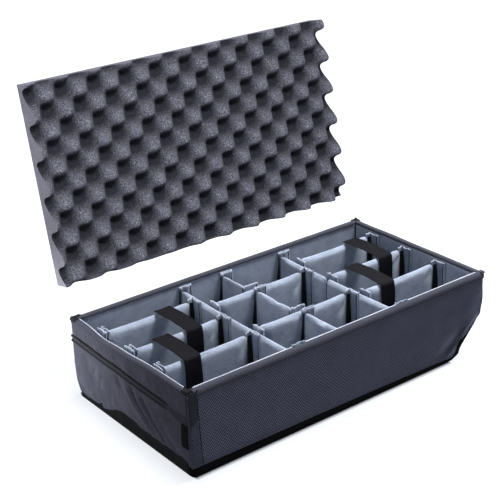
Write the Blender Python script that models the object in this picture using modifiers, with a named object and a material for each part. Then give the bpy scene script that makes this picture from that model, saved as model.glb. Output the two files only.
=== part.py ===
"""Padded divider set for a wheeled equipment case, with its convoluted lid foam.

A soft tray of sewn fabric, foam board and brushed loop lining is split by thirteen padded dividers.
Each divider holds to the loop lining with a flap at each end, and four webbing straps bridge the bays.
The lid foam is shown open, as it stands in the raised lid of the case.

Metres, +Z up. The origin is the centre of the tray's flat bottom, +X runs along its length towards the
wheel end, and -Y is the front.
"""

import math

import bmesh
import bpy
from mathutils import Vector

# Tray
TRAY_LENGTH = 0.750
TRAY_WIDTH = 0.390
RIM_HEIGHT = 0.175
LINING_HEIGHT = 0.1705
RAMP_RUN = 0.085
RAMP_RISE = 0.090
END_TAPER = 0.005
FIT_GAP = 0.0003
CUT_OVERRUN = 0.020

# Wall layers, from the outside in
BINDING_THICKNESS = 0.0012
COVER_THICKNESS = 0.0010
PAN_THICKNESS = 0.0010
WALL_FOAM_THICKNESS = 0.0076
LINING_THICKNESS = 0.0010

# Floor layers, from the bottom up
PAN_FLOOR = 0.0020
FLOOR_FOAM_THICKNESS = 0.0080

# Sewn trim
PAN_DEPTH = 0.035
HEM_HEIGHT = 0.010
ARCH_HEIGHT = 0.024
ARCH_WIDTH = 0.200
ARCH_STEPS = 10
BINDING_DEPTH = 0.018
BINDING_CAP = 0.005
BINDING_ROUND = 0.003
CORNER_STRIP_WIDTH = 0.018
WELT_HEIGHT = 0.130
WELT_WIDTH = 0.008
WELT_LENGTH = 0.335
WELT_DROP = 0.012
LABEL_WIDTH = 0.016
LABEL_LENGTH = 0.046
LABEL_TOP = 0.112
LABEL_THICKNESS = 0.0011
LABEL_INSET = 0.004

# Padded dividers
DIVIDER_THICKNESS = 0.0112
DIVIDER_CROWN = 0.0006
DIVIDER_TOP = 0.160
DIVIDER_TOP_ROUND = 0.0065
DIVIDER_SIDE_ROUND = 0.0035
PINCH_THICKNESS = 0.0035
PINCH_WIDTH = 0.010
FLAP_THICKNESS = 0.0030
FLAP_WIDTH = 0.021
FLAP_LAP = 0.004
FLAP_TOP = 0.1625
FLAP_FOOT = 0.004
FLAP_BEVEL = 0.0008

# The end bays, measured from the end walls' lining to the cross dividers
LEFT_BAY_LENGTH = 0.233
RIGHT_BAY_LENGTH = 0.218

# How far in from the back or front lining the long dividers stand, and y of the ones between
LEFT_BACK_IN = 0.060
LEFT_MIDDLE_Y = 0.026
LEFT_FRONT_IN = 0.116
RIGHT_BACK_IN = 0.052
RIGHT_MIDDLE_Y = 0.028
RIGHT_FRONT_IN = 0.111
MIDDLE_BACK_IN = 0.098
MIDDLE_FRONT_IN = 0.127

# Where the short dividers stand along the middle bay, and where the cross dividers are creased
SHORT_BACK_X = -0.018
SHORT_MIDDLE_X = -0.010
SHORT_FRONT_X = 0.000
LEFT_PINCH_Y = 0.019
RIGHT_PINCH_Y = 0.024

# Tie straps
STRAP_WIDTH = 0.038
STRAP_THICKNESS = 0.0018
STRAP_BOW = 0.002
STRAP_BEND = 0.006
STRAP_LEG = 0.072
STRAP_STEPS = 6

# How far in from the end walls' lining the straps' middles lie
LEFT_BACK_STRAP_IN = 0.157
LEFT_FRONT_STRAP_IN = 0.087
RIGHT_BACK_STRAP_IN = 0.063
RIGHT_FRONT_STRAP_IN = 0.151

# Lid foam
LID_LENGTH = 0.723
LID_WIDTH = 0.397
LID_THICKNESS = 0.050
LID_BASE = 0.015
LID_CELL_LENGTH = 0.036
LID_CELL_WIDTH = 0.035
LID_PEAK_IN = 0.002
LID_PEAK_DOWN = 0.059
LID_SKEW_DEG = 1.3
LID_LEAN = 0.008
LID_SAMPLES = 3
LID_SPARE_CELLS = 2
LID_WALL_POWER = 0.85
LID_CLOSED_GAP = 0.0015
HINGE_BEHIND = 0.0275
HINGE_ABOVE = 0.0252
LID_OPEN_DEG = 101.9

# Smallest distance that a modifier may merge
MERGE = 0.00001

# Insets of each layer from the outer envelope of the tray
COVER_INSET = BINDING_THICKNESS + FIT_GAP
PAN_INSET = COVER_INSET + COVER_THICKNESS + FIT_GAP
FOAM_INSET = PAN_INSET + PAN_THICKNESS + FIT_GAP
LINING_INSET = FOAM_INSET + WALL_FOAM_THICKNESS + FIT_GAP
ROOM_INSET = LINING_INSET + LINING_THICKNESS

# Heights of each layer above the bottom
FOAM_FLOOR = PAN_FLOOR + FIT_GAP
LINING_FLOOR = FOAM_FLOOR + FLOOR_FOAM_THICKNESS + FIT_GAP
ROOM_FLOOR = LINING_FLOOR + LINING_THICKNESS
CAP_UNDERSIDE = RIM_HEIGHT - BINDING_CAP
WALL_TOP = CAP_UNDERSIDE - FIT_GAP
DIVIDER_FOOT = ROOM_FLOOR + FIT_GAP

# Half sizes
HALF_LENGTH = TRAY_LENGTH / 2
HALF_WIDTH = TRAY_WIDTH / 2
ROOM_X = HALF_LENGTH - ROOM_INSET
ROOM_Y = HALF_WIDTH - ROOM_INSET
DIVIDER_HALF = DIVIDER_THICKNESS / 2 + DIVIDER_CROWN

# Where the dividers and the straps then stand
CROSS_LEFT_X = -ROOM_X + LEFT_BAY_LENGTH + DIVIDER_HALF
CROSS_RIGHT_X = ROOM_X - RIGHT_BAY_LENGTH - DIVIDER_HALF
LEFT_BACK_Y = ROOM_Y - LEFT_BACK_IN
LEFT_FRONT_Y = -ROOM_Y + LEFT_FRONT_IN
RIGHT_BACK_Y = ROOM_Y - RIGHT_BACK_IN
RIGHT_FRONT_Y = -ROOM_Y + RIGHT_FRONT_IN
MIDDLE_BACK_Y = ROOM_Y - MIDDLE_BACK_IN
MIDDLE_FRONT_Y = -ROOM_Y + MIDDLE_FRONT_IN
LEFT_BACK_STRAP_X = -ROOM_X + LEFT_BACK_STRAP_IN
LEFT_FRONT_STRAP_X = -ROOM_X + LEFT_FRONT_STRAP_IN
RIGHT_BACK_STRAP_X = ROOM_X - RIGHT_BACK_STRAP_IN
RIGHT_FRONT_STRAP_X = ROOM_X - RIGHT_FRONT_STRAP_IN
RAMP_SLOPE_LENGTH = math.hypot(RAMP_RUN, RAMP_RISE)

# Where the case lid turns, and where the pad lies in it
HINGE_Y = HALF_WIDTH + HINGE_BEHIND
HINGE_Z = RIM_HEIGHT + HINGE_ABOVE
LID_CLOSED_BACK_Z = RIM_HEIGHT + LID_CLOSED_GAP + LID_THICKNESS


def clear_scene():
    """Removes the objects that a new file starts with."""
    for item in list(bpy.data.objects):
        bpy.data.objects.remove(item, do_unlink=True)


def new_collection(name):
    """A collection under the scene's own."""
    made = bpy.data.collections.new(name)
    bpy.context.scene.collection.children.link(made)
    return made


def new_material(name, color, roughness):
    """A plain Principled material in one colour."""
    made = bpy.data.materials.new(name)
    made.use_nodes = True
    shader = made.node_tree.nodes["Principled BSDF"]
    shader.inputs["Base Color"].default_value = (*color, 1)
    shader.inputs["Roughness"].default_value = roughness
    shader.inputs["Metallic"].default_value = 0
    return made


def link_mesh(bm, name, material, collection, closed=True):
    """Writes a bmesh to a new named object with one material, its faces pointing out."""
    if closed:
        bmesh.ops.recalc_face_normals(bm, faces=bm.faces)
    mesh = bpy.data.meshes.new(name)
    bm.to_mesh(mesh)
    bm.free()
    made = bpy.data.objects.new(name, mesh)
    collection.objects.link(made)
    mesh.materials.append(material)
    return made


def add_bevel(item, width, segments):
    """Rounds the object's edges."""
    bevel = item.modifiers.new("rounded edges", "BEVEL")
    bevel.width = width
    bevel.segments = segments
    bevel.limit_method = "ANGLE"
    return bevel


def prism(name, outline, y_low, y_high, material, collection):
    """A side outline of (x, z) points, pushed from y_low to y_high."""
    bm = bmesh.new()
    face = bm.faces.new([bm.verts.new((x, y_low, z)) for x, z in outline])
    pushed = bmesh.ops.extrude_face_region(bm, geom=[face])
    moved = [v for v in pushed["geom"] if isinstance(v, bmesh.types.BMVert)]
    bmesh.ops.translate(bm, verts=moved, vec=(0, y_high - y_low, 0))
    return link_mesh(bm, name, material, collection)


def box(name, low, high, material, collection):
    """A block between two corners."""
    bm = bmesh.new()
    bmesh.ops.create_cube(bm, size=1)
    size = Vector(high) - Vector(low)
    bmesh.ops.scale(bm, verts=bm.verts, vec=size)
    bmesh.ops.translate(bm, verts=bm.verts, vec=(Vector(high) + Vector(low)) / 2)
    return link_mesh(bm, name, material, collection)


def cut(item, cutter, operation="DIFFERENCE"):
    """Cuts the object with another one, which is left out of the model."""
    boolean = item.modifiers.new("cut by " + cutter.name, "BOOLEAN")
    boolean.operation = operation
    boolean.object = cutter
    boolean.solver = "EXACT"
    cutter.hide_render = True
    cutter.display_type = "WIRE"
    return boolean


def ramp_x(height, inset):
    """Where the ramp at the wheel end, set in by inset, reaches a height."""
    start = HALF_LENGTH - RAMP_RUN
    return start + (height * RAMP_RUN - inset * RAMP_SLOPE_LENGTH) / RAMP_RISE


def ramp_z(x, inset):
    """The height of the ramp, set in by inset, at a place along the tray."""
    start = HALF_LENGTH - RAMP_RUN
    return (inset * RAMP_SLOPE_LENGTH + (x - start) * RAMP_RISE) / RAMP_RUN


def end_x(height, inset):
    """The handle end's outer side, which is upright down to the welt and then draws in."""
    below = max(0, WELT_HEIGHT - height) / WELT_HEIGHT
    return -HALF_LENGTH + inset + END_TAPER * below


def side_outline(inset, floor, top, tapered=True):
    """The tray's side outline, set in by inset at the ends and by floor at the bottom and the ramp."""
    right = HALF_LENGTH - inset
    left = [(end_x(top, inset), top), (end_x(WELT_HEIGHT, inset), WELT_HEIGHT), (end_x(floor, inset), floor)]
    if not tapered:
        left = [(-HALF_LENGTH + inset, top), (-HALF_LENGTH + inset, floor)]
    return left + [(ramp_x(floor, floor), floor), (right, ramp_z(right, floor)), (right, top)]


def below_line(height):
    """Everything under a line that runs a height above the bottom and the ramp."""
    far = HALF_LENGTH + CUT_OVERRUN
    corner = ramp_x(height, height)
    end = ramp_z(far, height)
    return [(-far, -CUT_OVERRUN), (-far, height), (corner, height), (far, end), (far, -CUT_OVERRUN)]


def tub(name, insets, floors, top, material, collection, cutters, tapered=True):
    """An open box that follows the side outline: an outer prism less an inner one."""
    outer_inset, inner_inset = insets
    outer_floor, inner_floor = floors
    outer_y = HALF_WIDTH - outer_inset
    inner_y = HALF_WIDTH - inner_inset
    outline = side_outline(outer_inset, outer_floor, top, tapered)
    body = prism(name, outline, -outer_y, outer_y, material, collection)
    hollow = side_outline(inner_inset, inner_floor, top + CUT_OVERRUN, tapered)
    inner = prism(name + "_hollow", hollow, -inner_y, inner_y, material, cutters)
    cut(body, inner)
    return body


def base_pan(material, collection, cutters):
    """The black laminated pan that the tray stands on, turned up at the wheel end to clear the wheels."""
    pan = tub("base_pan", (PAN_INSET, PAN_INSET + PAN_THICKNESS), (0, PAN_FLOOR), WALL_TOP, material,
              collection, cutters)
    far = HALF_WIDTH + CUT_OVERRUN
    keep = prism("pan_depth", below_line(PAN_DEPTH), -far, far, material, cutters)
    cut(pan, keep, "INTERSECT")
    return pan


def arch_outline():
    """The arch in the handle end's hem, which clears the bulge round the case's pull handle."""
    half = ARCH_WIDTH / 2
    points = [(-half, -CUT_OVERRUN)]
    for step in range(ARCH_STEPS + 1):
        share = step / ARCH_STEPS
        rise = ARCH_HEIGHT * math.sin(math.pi * share) ** 2
        points.append((-half + ARCH_WIDTH * share, HEM_HEIGHT - FIT_GAP + rise))
    return points + [(half, -CUT_OVERRUN)]


def outer_cover(material, collection, cutters):
    """The sewn fabric sleeve round the tray. Its hem stops above the pan's bottom edge."""
    far = HALF_LENGTH + CUT_OVERRUN
    floor = -CUT_OVERRUN
    insets = (COVER_INSET, COVER_INSET + COVER_THICKNESS)
    outer_y = HALF_WIDTH - insets[0]
    inner_y = HALF_WIDTH - insets[1]
    outline = side_outline(insets[0], 0, WALL_TOP)
    cover = prism("outer_cover", outline, -outer_y, outer_y, material, collection)
    left = [(end_x(z, insets[1]), z) for z in (WALL_TOP + CUT_OVERRUN, WELT_HEIGHT, floor)]
    right = HALF_LENGTH - insets[1]
    hollow = left + [(right, floor), (right, WALL_TOP + CUT_OVERRUN)]
    cut(cover, prism("cover_hollow", hollow, -inner_y, inner_y, material, cutters))
    wide = HALF_WIDTH + CUT_OVERRUN
    cut(cover, prism("hem_line", below_line(HEM_HEIGHT), -wide, wide, material, cutters))
    bm = bmesh.new()
    face = bm.faces.new([bm.verts.new((-far, y, z)) for y, z in arch_outline()])
    pushed = bmesh.ops.extrude_face_region(bm, geom=[face])
    moved = [v for v in pushed["geom"] if isinstance(v, bmesh.types.BMVert)]
    bmesh.ops.translate(bm, verts=moved, vec=(far / 2, 0, 0))
    cut(cover, link_mesh(bm, "hem_arch", material, cutters))
    return cover


def wall_foams(material, collection):
    """Four foam boards: two along the sides, clipped by the ramp, and one at each end between them."""
    outer_y = HALF_WIDTH - FOAM_INSET
    inner_y = outer_y - WALL_FOAM_THICKNESS
    outline = side_outline(FOAM_INSET, FOAM_FLOOR, WALL_TOP)
    prism("wall_foam_front", outline, -outer_y, -inner_y, material, collection)
    prism("wall_foam_back", outline, inner_y, outer_y, material, collection)
    end_y = inner_y - FIT_GAP
    inside = -HALF_LENGTH + LINING_INSET - FIT_GAP
    left = [(end_x(z, FOAM_INSET), z) for z in (WALL_TOP, WELT_HEIGHT, FOAM_FLOOR)]
    left += [(inside, FOAM_FLOOR), (inside, WALL_TOP)]
    prism("wall_foam_handle_end", left, -end_y, end_y, material, collection)
    outside = HALF_LENGTH - FOAM_INSET
    right = [(-inside, WALL_TOP), (-inside, ramp_z(-inside, FOAM_FLOOR))]
    right += [(outside, ramp_z(outside, FOAM_FLOOR)), (outside, WALL_TOP)]
    prism("wall_foam_wheel_end", right, -end_y, end_y, material, collection)


def floor_foams(material, collection):
    """The flat floor pad and the ramp pad, which meet on a mitre."""
    top = FOAM_FLOOR + FLOOR_FOAM_THICKNESS
    side_y = HALF_WIDTH - LINING_INSET
    low_x = ramp_x(FOAM_FLOOR, FOAM_FLOOR)
    high_x = ramp_x(top, top)
    left = -HALF_LENGTH + LINING_INSET
    right = HALF_LENGTH - LINING_INSET
    floor = [(left, top), (left, FOAM_FLOOR), (low_x - FIT_GAP, FOAM_FLOOR), (high_x - FIT_GAP, top)]
    prism("floor_foam", floor, -side_y, side_y, material, collection)
    ramp = [(high_x, top), (low_x, FOAM_FLOOR)]
    ramp += [(right, ramp_z(right, FOAM_FLOOR)), (right, ramp_z(right, top))]
    prism("ramp_foam", ramp, -side_y, side_y, material, collection)


def rim_binding(material, collection):
    """The ribbed tape over the rim: one section carried round the tray and mitred at the corners."""
    cap = LINING_INSET - FIT_GAP
    low = RIM_HEIGHT - BINDING_DEPTH
    section = [
        (0, low),
        (0, RIM_HEIGHT - BINDING_ROUND),
        (BINDING_ROUND, RIM_HEIGHT),
        (cap - BINDING_ROUND, RIM_HEIGHT - BINDING_THICKNESS),
        (cap, LINING_HEIGHT),
        (cap, CAP_UNDERSIDE),
        (BINDING_THICKNESS, CAP_UNDERSIDE),
        (BINDING_THICKNESS, low),
    ]
    bm = bmesh.new()
    loops = []
    for side_x, side_y in ((-1, -1), (1, -1), (1, 1), (-1, 1)):
        corner = [(side_x * (HALF_LENGTH - inset), side_y * (HALF_WIDTH - inset), z) for inset, z in section]
        loops.append([bm.verts.new(point) for point in corner])
    for index, loop in enumerate(loops):
        following = loops[(index + 1) % len(loops)]
        for here in range(len(section)):
            there = (here + 1) % len(section)
            bm.faces.new((loop[here], following[here], following[there], loop[there]))
    return link_mesh(bm, "rim_binding", material, collection)


def corner_strips(material, collection):
    """Binding strips sewn up the two corners of the handle end."""
    low = HEM_HEIGHT
    high = RIM_HEIGHT - BINDING_DEPTH - FIT_GAP
    outline = [(end_x(z, COVER_INSET), z) for z in (high, WELT_HEIGHT, low)]
    outline += [(end_x(z, COVER_INSET) + CORNER_STRIP_WIDTH, z) for z in (low, WELT_HEIGHT, high)]
    inner = HALF_WIDTH - BINDING_THICKNESS
    prism("corner_strip_front", outline, -HALF_WIDTH, -inner, material, collection)
    prism("corner_strip_back", outline, inner, HALF_WIDTH, material, collection)


def end_welt(material, collection):
    """The piping across the handle end, where the stiff collar meets the loose skirt."""
    low = (-HALF_LENGTH, -WELT_LENGTH / 2, -WELT_WIDTH / 2)
    high = (-HALF_LENGTH + BINDING_THICKNESS, WELT_LENGTH / 2, WELT_WIDTH / 2)
    welt = box("end_welt", low, high, material, collection)
    drop = math.asin(WELT_DROP / WELT_LENGTH)
    welt.rotation_euler = (drop, 0, 0)
    welt.location = (0, (TRAY_WIDTH - WELT_LENGTH) / 2 - COVER_INSET, WELT_HEIGHT + WELT_WIDTH)
    add_bevel(welt, BINDING_THICKNESS / 4, 1)
    return welt


def side_label(material, collection):
    """A small blank woven loop sewn into the front seam of the handle end."""
    face = COVER_INSET - FIT_GAP
    low = LABEL_TOP - LABEL_LENGTH
    outline = [(end_x(z, face), z) for z in (LABEL_TOP, low)]
    outline += [(x - LABEL_THICKNESS, z) for x, z in reversed(outline)]
    start = -HALF_WIDTH + LABEL_INSET
    return prism("side_label", outline, start, start + LABEL_WIDTH, material, collection)


def edge_share(distance, round_size):
    """How full the pad is at a distance from a rounded edge: 0 on the seam and 1 past the rounding."""
    near = min(1, max(0, distance / round_size))
    return math.sqrt(max(0, 1 - (1 - near) ** 2))


def stations(length, round_low, round_high, inner, extra=()):
    """Places along one side of a pad: close together on the roundings, wider between them."""
    shares = (0, 0.12, 0.45, 1)
    places = [share * round_low for share in shares]
    places += [length - share * round_high for share in shares]
    span = length - round_low - round_high
    places += [round_low + span * step / inner for step in range(1, inner)]
    return sorted(places + list(extra))


def pad(name, length, height, material, collection, pinch=None):
    """One padded divider, standing along X from 0 to length: a crowned half, mirrored on its seam plane.

    A pinch is the place of a sewn crease across the pad, where it is drawn thin.
    """
    creases = ()
    if pinch is not None:
        creases = [pinch + PINCH_WIDTH * share for share in (-1, -0.5, 0, 0.5, 1)]
    along = stations(length, DIVIDER_SIDE_ROUND, DIVIDER_SIDE_ROUND, 3, creases)
    up = stations(height, DIVIDER_SIDE_ROUND, DIVIDER_TOP_ROUND, 3)
    bm = bmesh.new()
    bmesh.ops.create_grid(bm, x_segments=len(along) - 1, y_segments=len(up) - 1, size=0.5)
    for vert in bm.verts:
        x = along[round((vert.co.x + 0.5) * (len(along) - 1))]
        z = up[round((vert.co.y + 0.5) * (len(up) - 1))]
        ends = edge_share(x, DIVIDER_SIDE_ROUND) * edge_share(length - x, DIVIDER_SIDE_ROUND)
        rims = edge_share(z, DIVIDER_SIDE_ROUND) * edge_share(height - z, DIVIDER_TOP_ROUND)
        crown = DIVIDER_CROWN * math.sin(math.pi * x / length) * math.sin(math.pi * z / height)
        half = DIVIDER_THICKNESS / 2 + crown
        if pinch is not None:
            near = max(0, 1 - abs(x - pinch) / PINCH_WIDTH)
            half -= (half - PINCH_THICKNESS / 2) * math.sin(near * math.pi / 2)
        vert.co = (x, -half * ends * rims, z)
    item = link_mesh(bm, name, material, collection, closed=False)
    mirror = item.modifiers.new("other half", "MIRROR")
    mirror.use_axis = (False, True, False)
    mirror.use_clip = True
    mirror.merge_threshold = MERGE
    return item


def clip_to_ramp(item, cutters):
    """Cuts the pad's lower corner away where the floor turns up at the wheel end."""
    lift = ROOM_FLOOR + FIT_GAP
    far = HALF_LENGTH + CUT_OVERRUN
    start = ramp_x(-CUT_OVERRUN, lift)
    outline = [(start, -CUT_OVERRUN), (far, ramp_z(far, lift)), (far, -CUT_OVERRUN)]
    wedge = prism(item.name + "_ramp", outline, -HALF_WIDTH, HALF_WIDTH, item.data.materials[0], cutters)
    cut(item, wedge)


def flap(name, low, high, material, collection):
    """One sewn end flap with hook tape on its back, a flat double layer."""
    item = box(name, low, high, material, collection)
    add_bevel(item, FLAP_BEVEL, 1)
    return item


def long_divider(name, x_low, x_high, y, looks, collection, cutters, foot_low, foot_high):
    """A divider that runs along X, with its end flaps folded towards the front."""
    pad_material, flap_material = looks
    seat = FLAP_THICKNESS + 2 * FIT_GAP
    item = pad(name, x_high - x_low - 2 * seat, DIVIDER_TOP - DIVIDER_FOOT, pad_material, collection)
    item.location = (x_low + seat, y, DIVIDER_FOOT)
    y_low = y - DIVIDER_HALF - FLAP_WIDTH
    y_high = y + FLAP_LAP
    left = x_low + FIT_GAP
    flap(name + "_flap_left", (left, y_low, foot_low), (left + FLAP_THICKNESS, y_high, FLAP_TOP),
         flap_material, collection)
    right = x_high - FIT_GAP
    flap(name + "_flap_right", (right - FLAP_THICKNESS, y_low, foot_high), (right, y_high, FLAP_TOP),
         flap_material, collection)
    if foot_high > foot_low:
        clip_to_ramp(item, cutters)
    return item


def short_divider(name, y_low, y_high, x, looks, collection, pinch_y=None):
    """A divider that runs along Y, with its end flaps folded to the right."""
    pad_material, flap_material = looks
    seat = FLAP_THICKNESS + 2 * FIT_GAP
    pinch = None if pinch_y is None else pinch_y - y_low - seat
    item = pad(name, y_high - y_low - 2 * seat, DIVIDER_TOP - DIVIDER_FOOT, pad_material, collection, pinch)
    item.location = (x, y_low + seat, DIVIDER_FOOT)
    item.rotation_euler = (0, 0, math.pi / 2)
    foot = DIVIDER_FOOT + FLAP_FOOT
    left = x - FLAP_LAP
    right = x + DIVIDER_HALF + FLAP_WIDTH
    front = y_low + FIT_GAP
    flap(name + "_flap_front", (left, front, foot), (right, front + FLAP_THICKNESS, FLAP_TOP),
         flap_material, collection)
    back = y_high - FIT_GAP
    flap(name + "_flap_back", (left, back - FLAP_THICKNESS, foot), (right, back, FLAP_TOP),
         flap_material, collection)
    return item


def dividers(looks, collection, cutters):
    """Two cross dividers make three bays, and eleven more split the bays."""
    face = DIVIDER_HALF
    middle = (MIDDLE_FRONT_Y + face, MIDDLE_BACK_Y - face)
    short_divider("cross_left", -ROOM_Y, ROOM_Y, CROSS_LEFT_X, looks, collection, LEFT_PINCH_Y)
    short_divider("cross_right", -ROOM_Y, ROOM_Y, CROSS_RIGHT_X, looks, collection, RIGHT_PINCH_Y)
    foot = DIVIDER_FOOT + FLAP_FOOT
    on_ramp = ramp_z(ROOM_X, ROOM_FLOOR) + FLAP_FOOT
    rows = [
        ("left_back", -ROOM_X, CROSS_LEFT_X - face, LEFT_BACK_Y, foot),
        ("left_middle", -ROOM_X, CROSS_LEFT_X - face, LEFT_MIDDLE_Y, foot),
        ("left_front", -ROOM_X, CROSS_LEFT_X - face, LEFT_FRONT_Y, foot),
        ("middle_back", CROSS_LEFT_X + face, CROSS_RIGHT_X - face, MIDDLE_BACK_Y, foot),
        ("middle_front", CROSS_LEFT_X + face, CROSS_RIGHT_X - face, MIDDLE_FRONT_Y, foot),
        ("right_back", CROSS_RIGHT_X + face, ROOM_X, RIGHT_BACK_Y, on_ramp),
        ("right_middle", CROSS_RIGHT_X + face, ROOM_X, RIGHT_MIDDLE_Y, on_ramp),
        ("right_front", CROSS_RIGHT_X + face, ROOM_X, RIGHT_FRONT_Y, on_ramp),
    ]
    for name, x_low, x_high, y, foot_high in rows:
        long_divider(name, x_low, x_high, y, looks, collection, cutters, foot, foot_high)
    short_divider("short_back", MIDDLE_BACK_Y + face, ROOM_Y, SHORT_BACK_X, looks, collection)
    short_divider("short_middle", *middle, SHORT_MIDDLE_X, looks, collection)
    short_divider("short_front", -ROOM_Y, MIDDLE_FRONT_Y - face, SHORT_FRONT_X, looks, collection)


def strap_path(back_y, front_y):
    """The strap's underside, as (y, z) points: off the back divider's top, over the front one and down it."""
    top = DIVIDER_TOP + FIT_GAP
    face = front_y - DIVIDER_HALF - FIT_GAP
    start = back_y + DIVIDER_HALF
    turn = face + STRAP_BEND
    points = []
    for step in range(STRAP_STEPS + 1):
        share = step / STRAP_STEPS
        rise = STRAP_BOW * math.sin(math.pi * share)
        points.append((start + (turn - start) * share, top + rise))
    for step in range(1, STRAP_STEPS // 2 + 1):
        angle = math.pi / 2 * step / (STRAP_STEPS // 2)
        points.append((turn - STRAP_BEND * math.sin(angle), top - STRAP_BEND * (1 - math.cos(angle))))
    return points + [(face, top - STRAP_LEG)]


def strap(name, x, back_y, front_y, material, collection):
    """A flat webbing strap that turns at the back divider's top and lies over the front one."""
    hinge = Vector((x, back_y + DIVIDER_HALF, DIVIDER_TOP + FIT_GAP))
    bm = bmesh.new()
    line = [bm.verts.new(Vector((x - STRAP_WIDTH / 2, y, z)) - hinge) for y, z in strap_path(back_y, front_y)]
    edges = [bm.edges.new(pair) for pair in zip(line, line[1:])]
    pushed = bmesh.ops.extrude_edge_only(bm, edges=edges)
    moved = [v for v in pushed["geom"] if isinstance(v, bmesh.types.BMVert)]
    bmesh.ops.translate(bm, verts=moved, vec=(STRAP_WIDTH, 0, 0))
    item = link_mesh(bm, name, material, collection, closed=False)
    item.location = hinge
    upward = item.data.polygons[0].normal.z > 0
    solid = item.modifiers.new("webbing", "SOLIDIFY")
    solid.thickness = STRAP_THICKNESS
    solid.offset = 1 if upward else -1
    solid.use_even_offset = True
    return item


def straps(material, collection):
    """Two straps over the left bay and two over the right bay."""
    strap("strap_left_back", LEFT_BACK_STRAP_X, LEFT_BACK_Y, LEFT_MIDDLE_Y, material, collection)
    strap("strap_left_front", LEFT_FRONT_STRAP_X, LEFT_MIDDLE_Y, LEFT_FRONT_Y, material, collection)
    strap("strap_right_back", RIGHT_BACK_STRAP_X, RIGHT_BACK_Y, RIGHT_MIDDLE_Y, material, collection)
    strap("strap_right_front", RIGHT_FRONT_STRAP_X, RIGHT_MIDDLE_Y, RIGHT_FRONT_Y, material, collection)


def crate_height(across, down):
    """The convoluted face: peaks and pits alternate like a checkerboard, with steep walls between them."""
    wave = math.cos(math.pi * across) * math.cos(math.pi * down)
    shaped = math.copysign(abs(wave) ** LID_WALL_POWER, wave)
    return (1 + shaped) / 2


def foam_stock(name, material, collection):
    """A sheet of convoluted foam stock, larger than the pad, lying with its peaks up.

    Its points fall on each peak and pit. The peaks lean down the standing pad, and the sheet lies askew,
    as it was when the pad was cut from it.
    """
    back = HINGE_Z - LID_CLOSED_BACK_Z
    front_y = HINGE_Y + LID_WIDTH / 2
    skew = math.radians(LID_SKEW_DEG)
    cells_across = math.ceil(LID_LENGTH / LID_CELL_LENGTH) + 2 * LID_SPARE_CELLS
    cells_down = math.ceil(LID_WIDTH / LID_CELL_WIDTH) + 3 * LID_SPARE_CELLS
    bm = bmesh.new()
    steps = (cells_across * LID_SAMPLES, cells_down * LID_SAMPLES)
    bmesh.ops.create_grid(bm, x_segments=steps[0], y_segments=steps[1], size=0.5)
    for vert in bm.verts:
        across = (vert.co.x + 0.5) * cells_across - LID_SPARE_CELLS
        down = (0.5 - vert.co.y) * cells_down - 2 * LID_SPARE_CELLS
        rise = crate_height(across, down)
        u = across * LID_CELL_LENGTH
        v = down * LID_CELL_WIDTH
        x = LID_PEAK_IN + u * math.cos(skew) - v * math.sin(skew) - LID_LENGTH / 2
        y = LID_PEAK_DOWN + v * math.cos(skew) + u * math.sin(skew) + LID_LEAN * (2 * rise - 1)
        vert.co = (x, front_y - y, back + LID_BASE + (LID_THICKNESS - LID_BASE) * rise)
    rim = [edge for edge in bm.edges if edge.is_boundary]
    pushed = bmesh.ops.extrude_edge_only(bm, edges=rim)
    for vert in pushed["geom"]:
        if isinstance(vert, bmesh.types.BMVert):
            vert.co.z = back
    bmesh.ops.holes_fill(bm, edges=[edge for edge in bm.edges if edge.is_boundary], sides=0)
    return link_mesh(bm, name, material, collection)


def lid_foam(material, collection, cutters):
    """The convoluted foam pad of the lid, flat on the back, cut square from the stock.

    It is modelled about the lid's hinge line, and turned back from shut by the angle at which it stands.
    """
    back = HINGE_Z - LID_CLOSED_BACK_Z
    rear = HINGE_Y - LID_WIDTH / 2
    low = (-LID_LENGTH / 2, rear, back - CUT_OVERRUN)
    high = (LID_LENGTH / 2, rear + LID_WIDTH, back + LID_THICKNESS + CUT_OVERRUN)
    item = foam_stock("lid_foam", material, collection)
    size = box("pad_size", low, high, material, cutters)
    cut(item, size, "INTERSECT")
    for piece in (item, size):
        piece.location = (0, HINGE_Y, HINGE_Z)
        piece.rotation_euler = (math.pi - math.radians(LID_OPEN_DEG), 0, 0)
    return item


def build():
    """Makes the whole divider set."""
    clear_scene()
    parts = new_collection("padded_case_divider")
    cutters = new_collection("cutters")
    fabric = new_material("ribbed polyester cover", (0.050, 0.054, 0.078), 0.8)
    black = new_material("black laminate", (0.006, 0.006, 0.008), 0.6)
    board = new_material("foam board", (0.10, 0.10, 0.11), 0.95)
    loop = new_material("brushed loop lining", (0.26, 0.31, 0.40), 0.95)
    tape = new_material("flap tape", (0.24, 0.28, 0.37), 0.95)
    binding = new_material("ribbed binding", (0.065, 0.065, 0.075), 0.85)
    webbing = new_material("black webbing", (0.018, 0.018, 0.020), 0.7)
    foam = new_material("charcoal foam", (0.090, 0.092, 0.115), 1.0)
    base_pan(black, parts, cutters)
    outer_cover(fabric, parts, cutters)
    wall_foams(board, parts)
    floor_foams(board, parts)
    tub("lining", (LINING_INSET, ROOM_INSET), (LINING_FLOOR, ROOM_FLOOR), LINING_HEIGHT, loop, parts, cutters,
        tapered=False)
    rim_binding(binding, parts)
    corner_strips(binding, parts)
    end_welt(webbing, parts)
    side_label(webbing, parts)
    dividers((loop, tape), parts, cutters)
    straps(webbing, parts)
    lid_foam(foam, parts, cutters)


build()
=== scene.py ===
# %% [markdown]
# # A padded divider set for an equipment case
# A soft tray of sewn fabric, foam board and brushed loop lining, split by thirteen padded dividers, with the
# convoluted foam pad of the case lid standing open behind it. The CAD model gives every piece its place. Here
# each soft piece is made again with its folds, seams and weave. Lengths are in metres, and Z is up.

# %% The frame and the measures that the pieces share
import math

import bmesh
import bpy
import numpy as np
from mathutils import Matrix, Vector, noise


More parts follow.
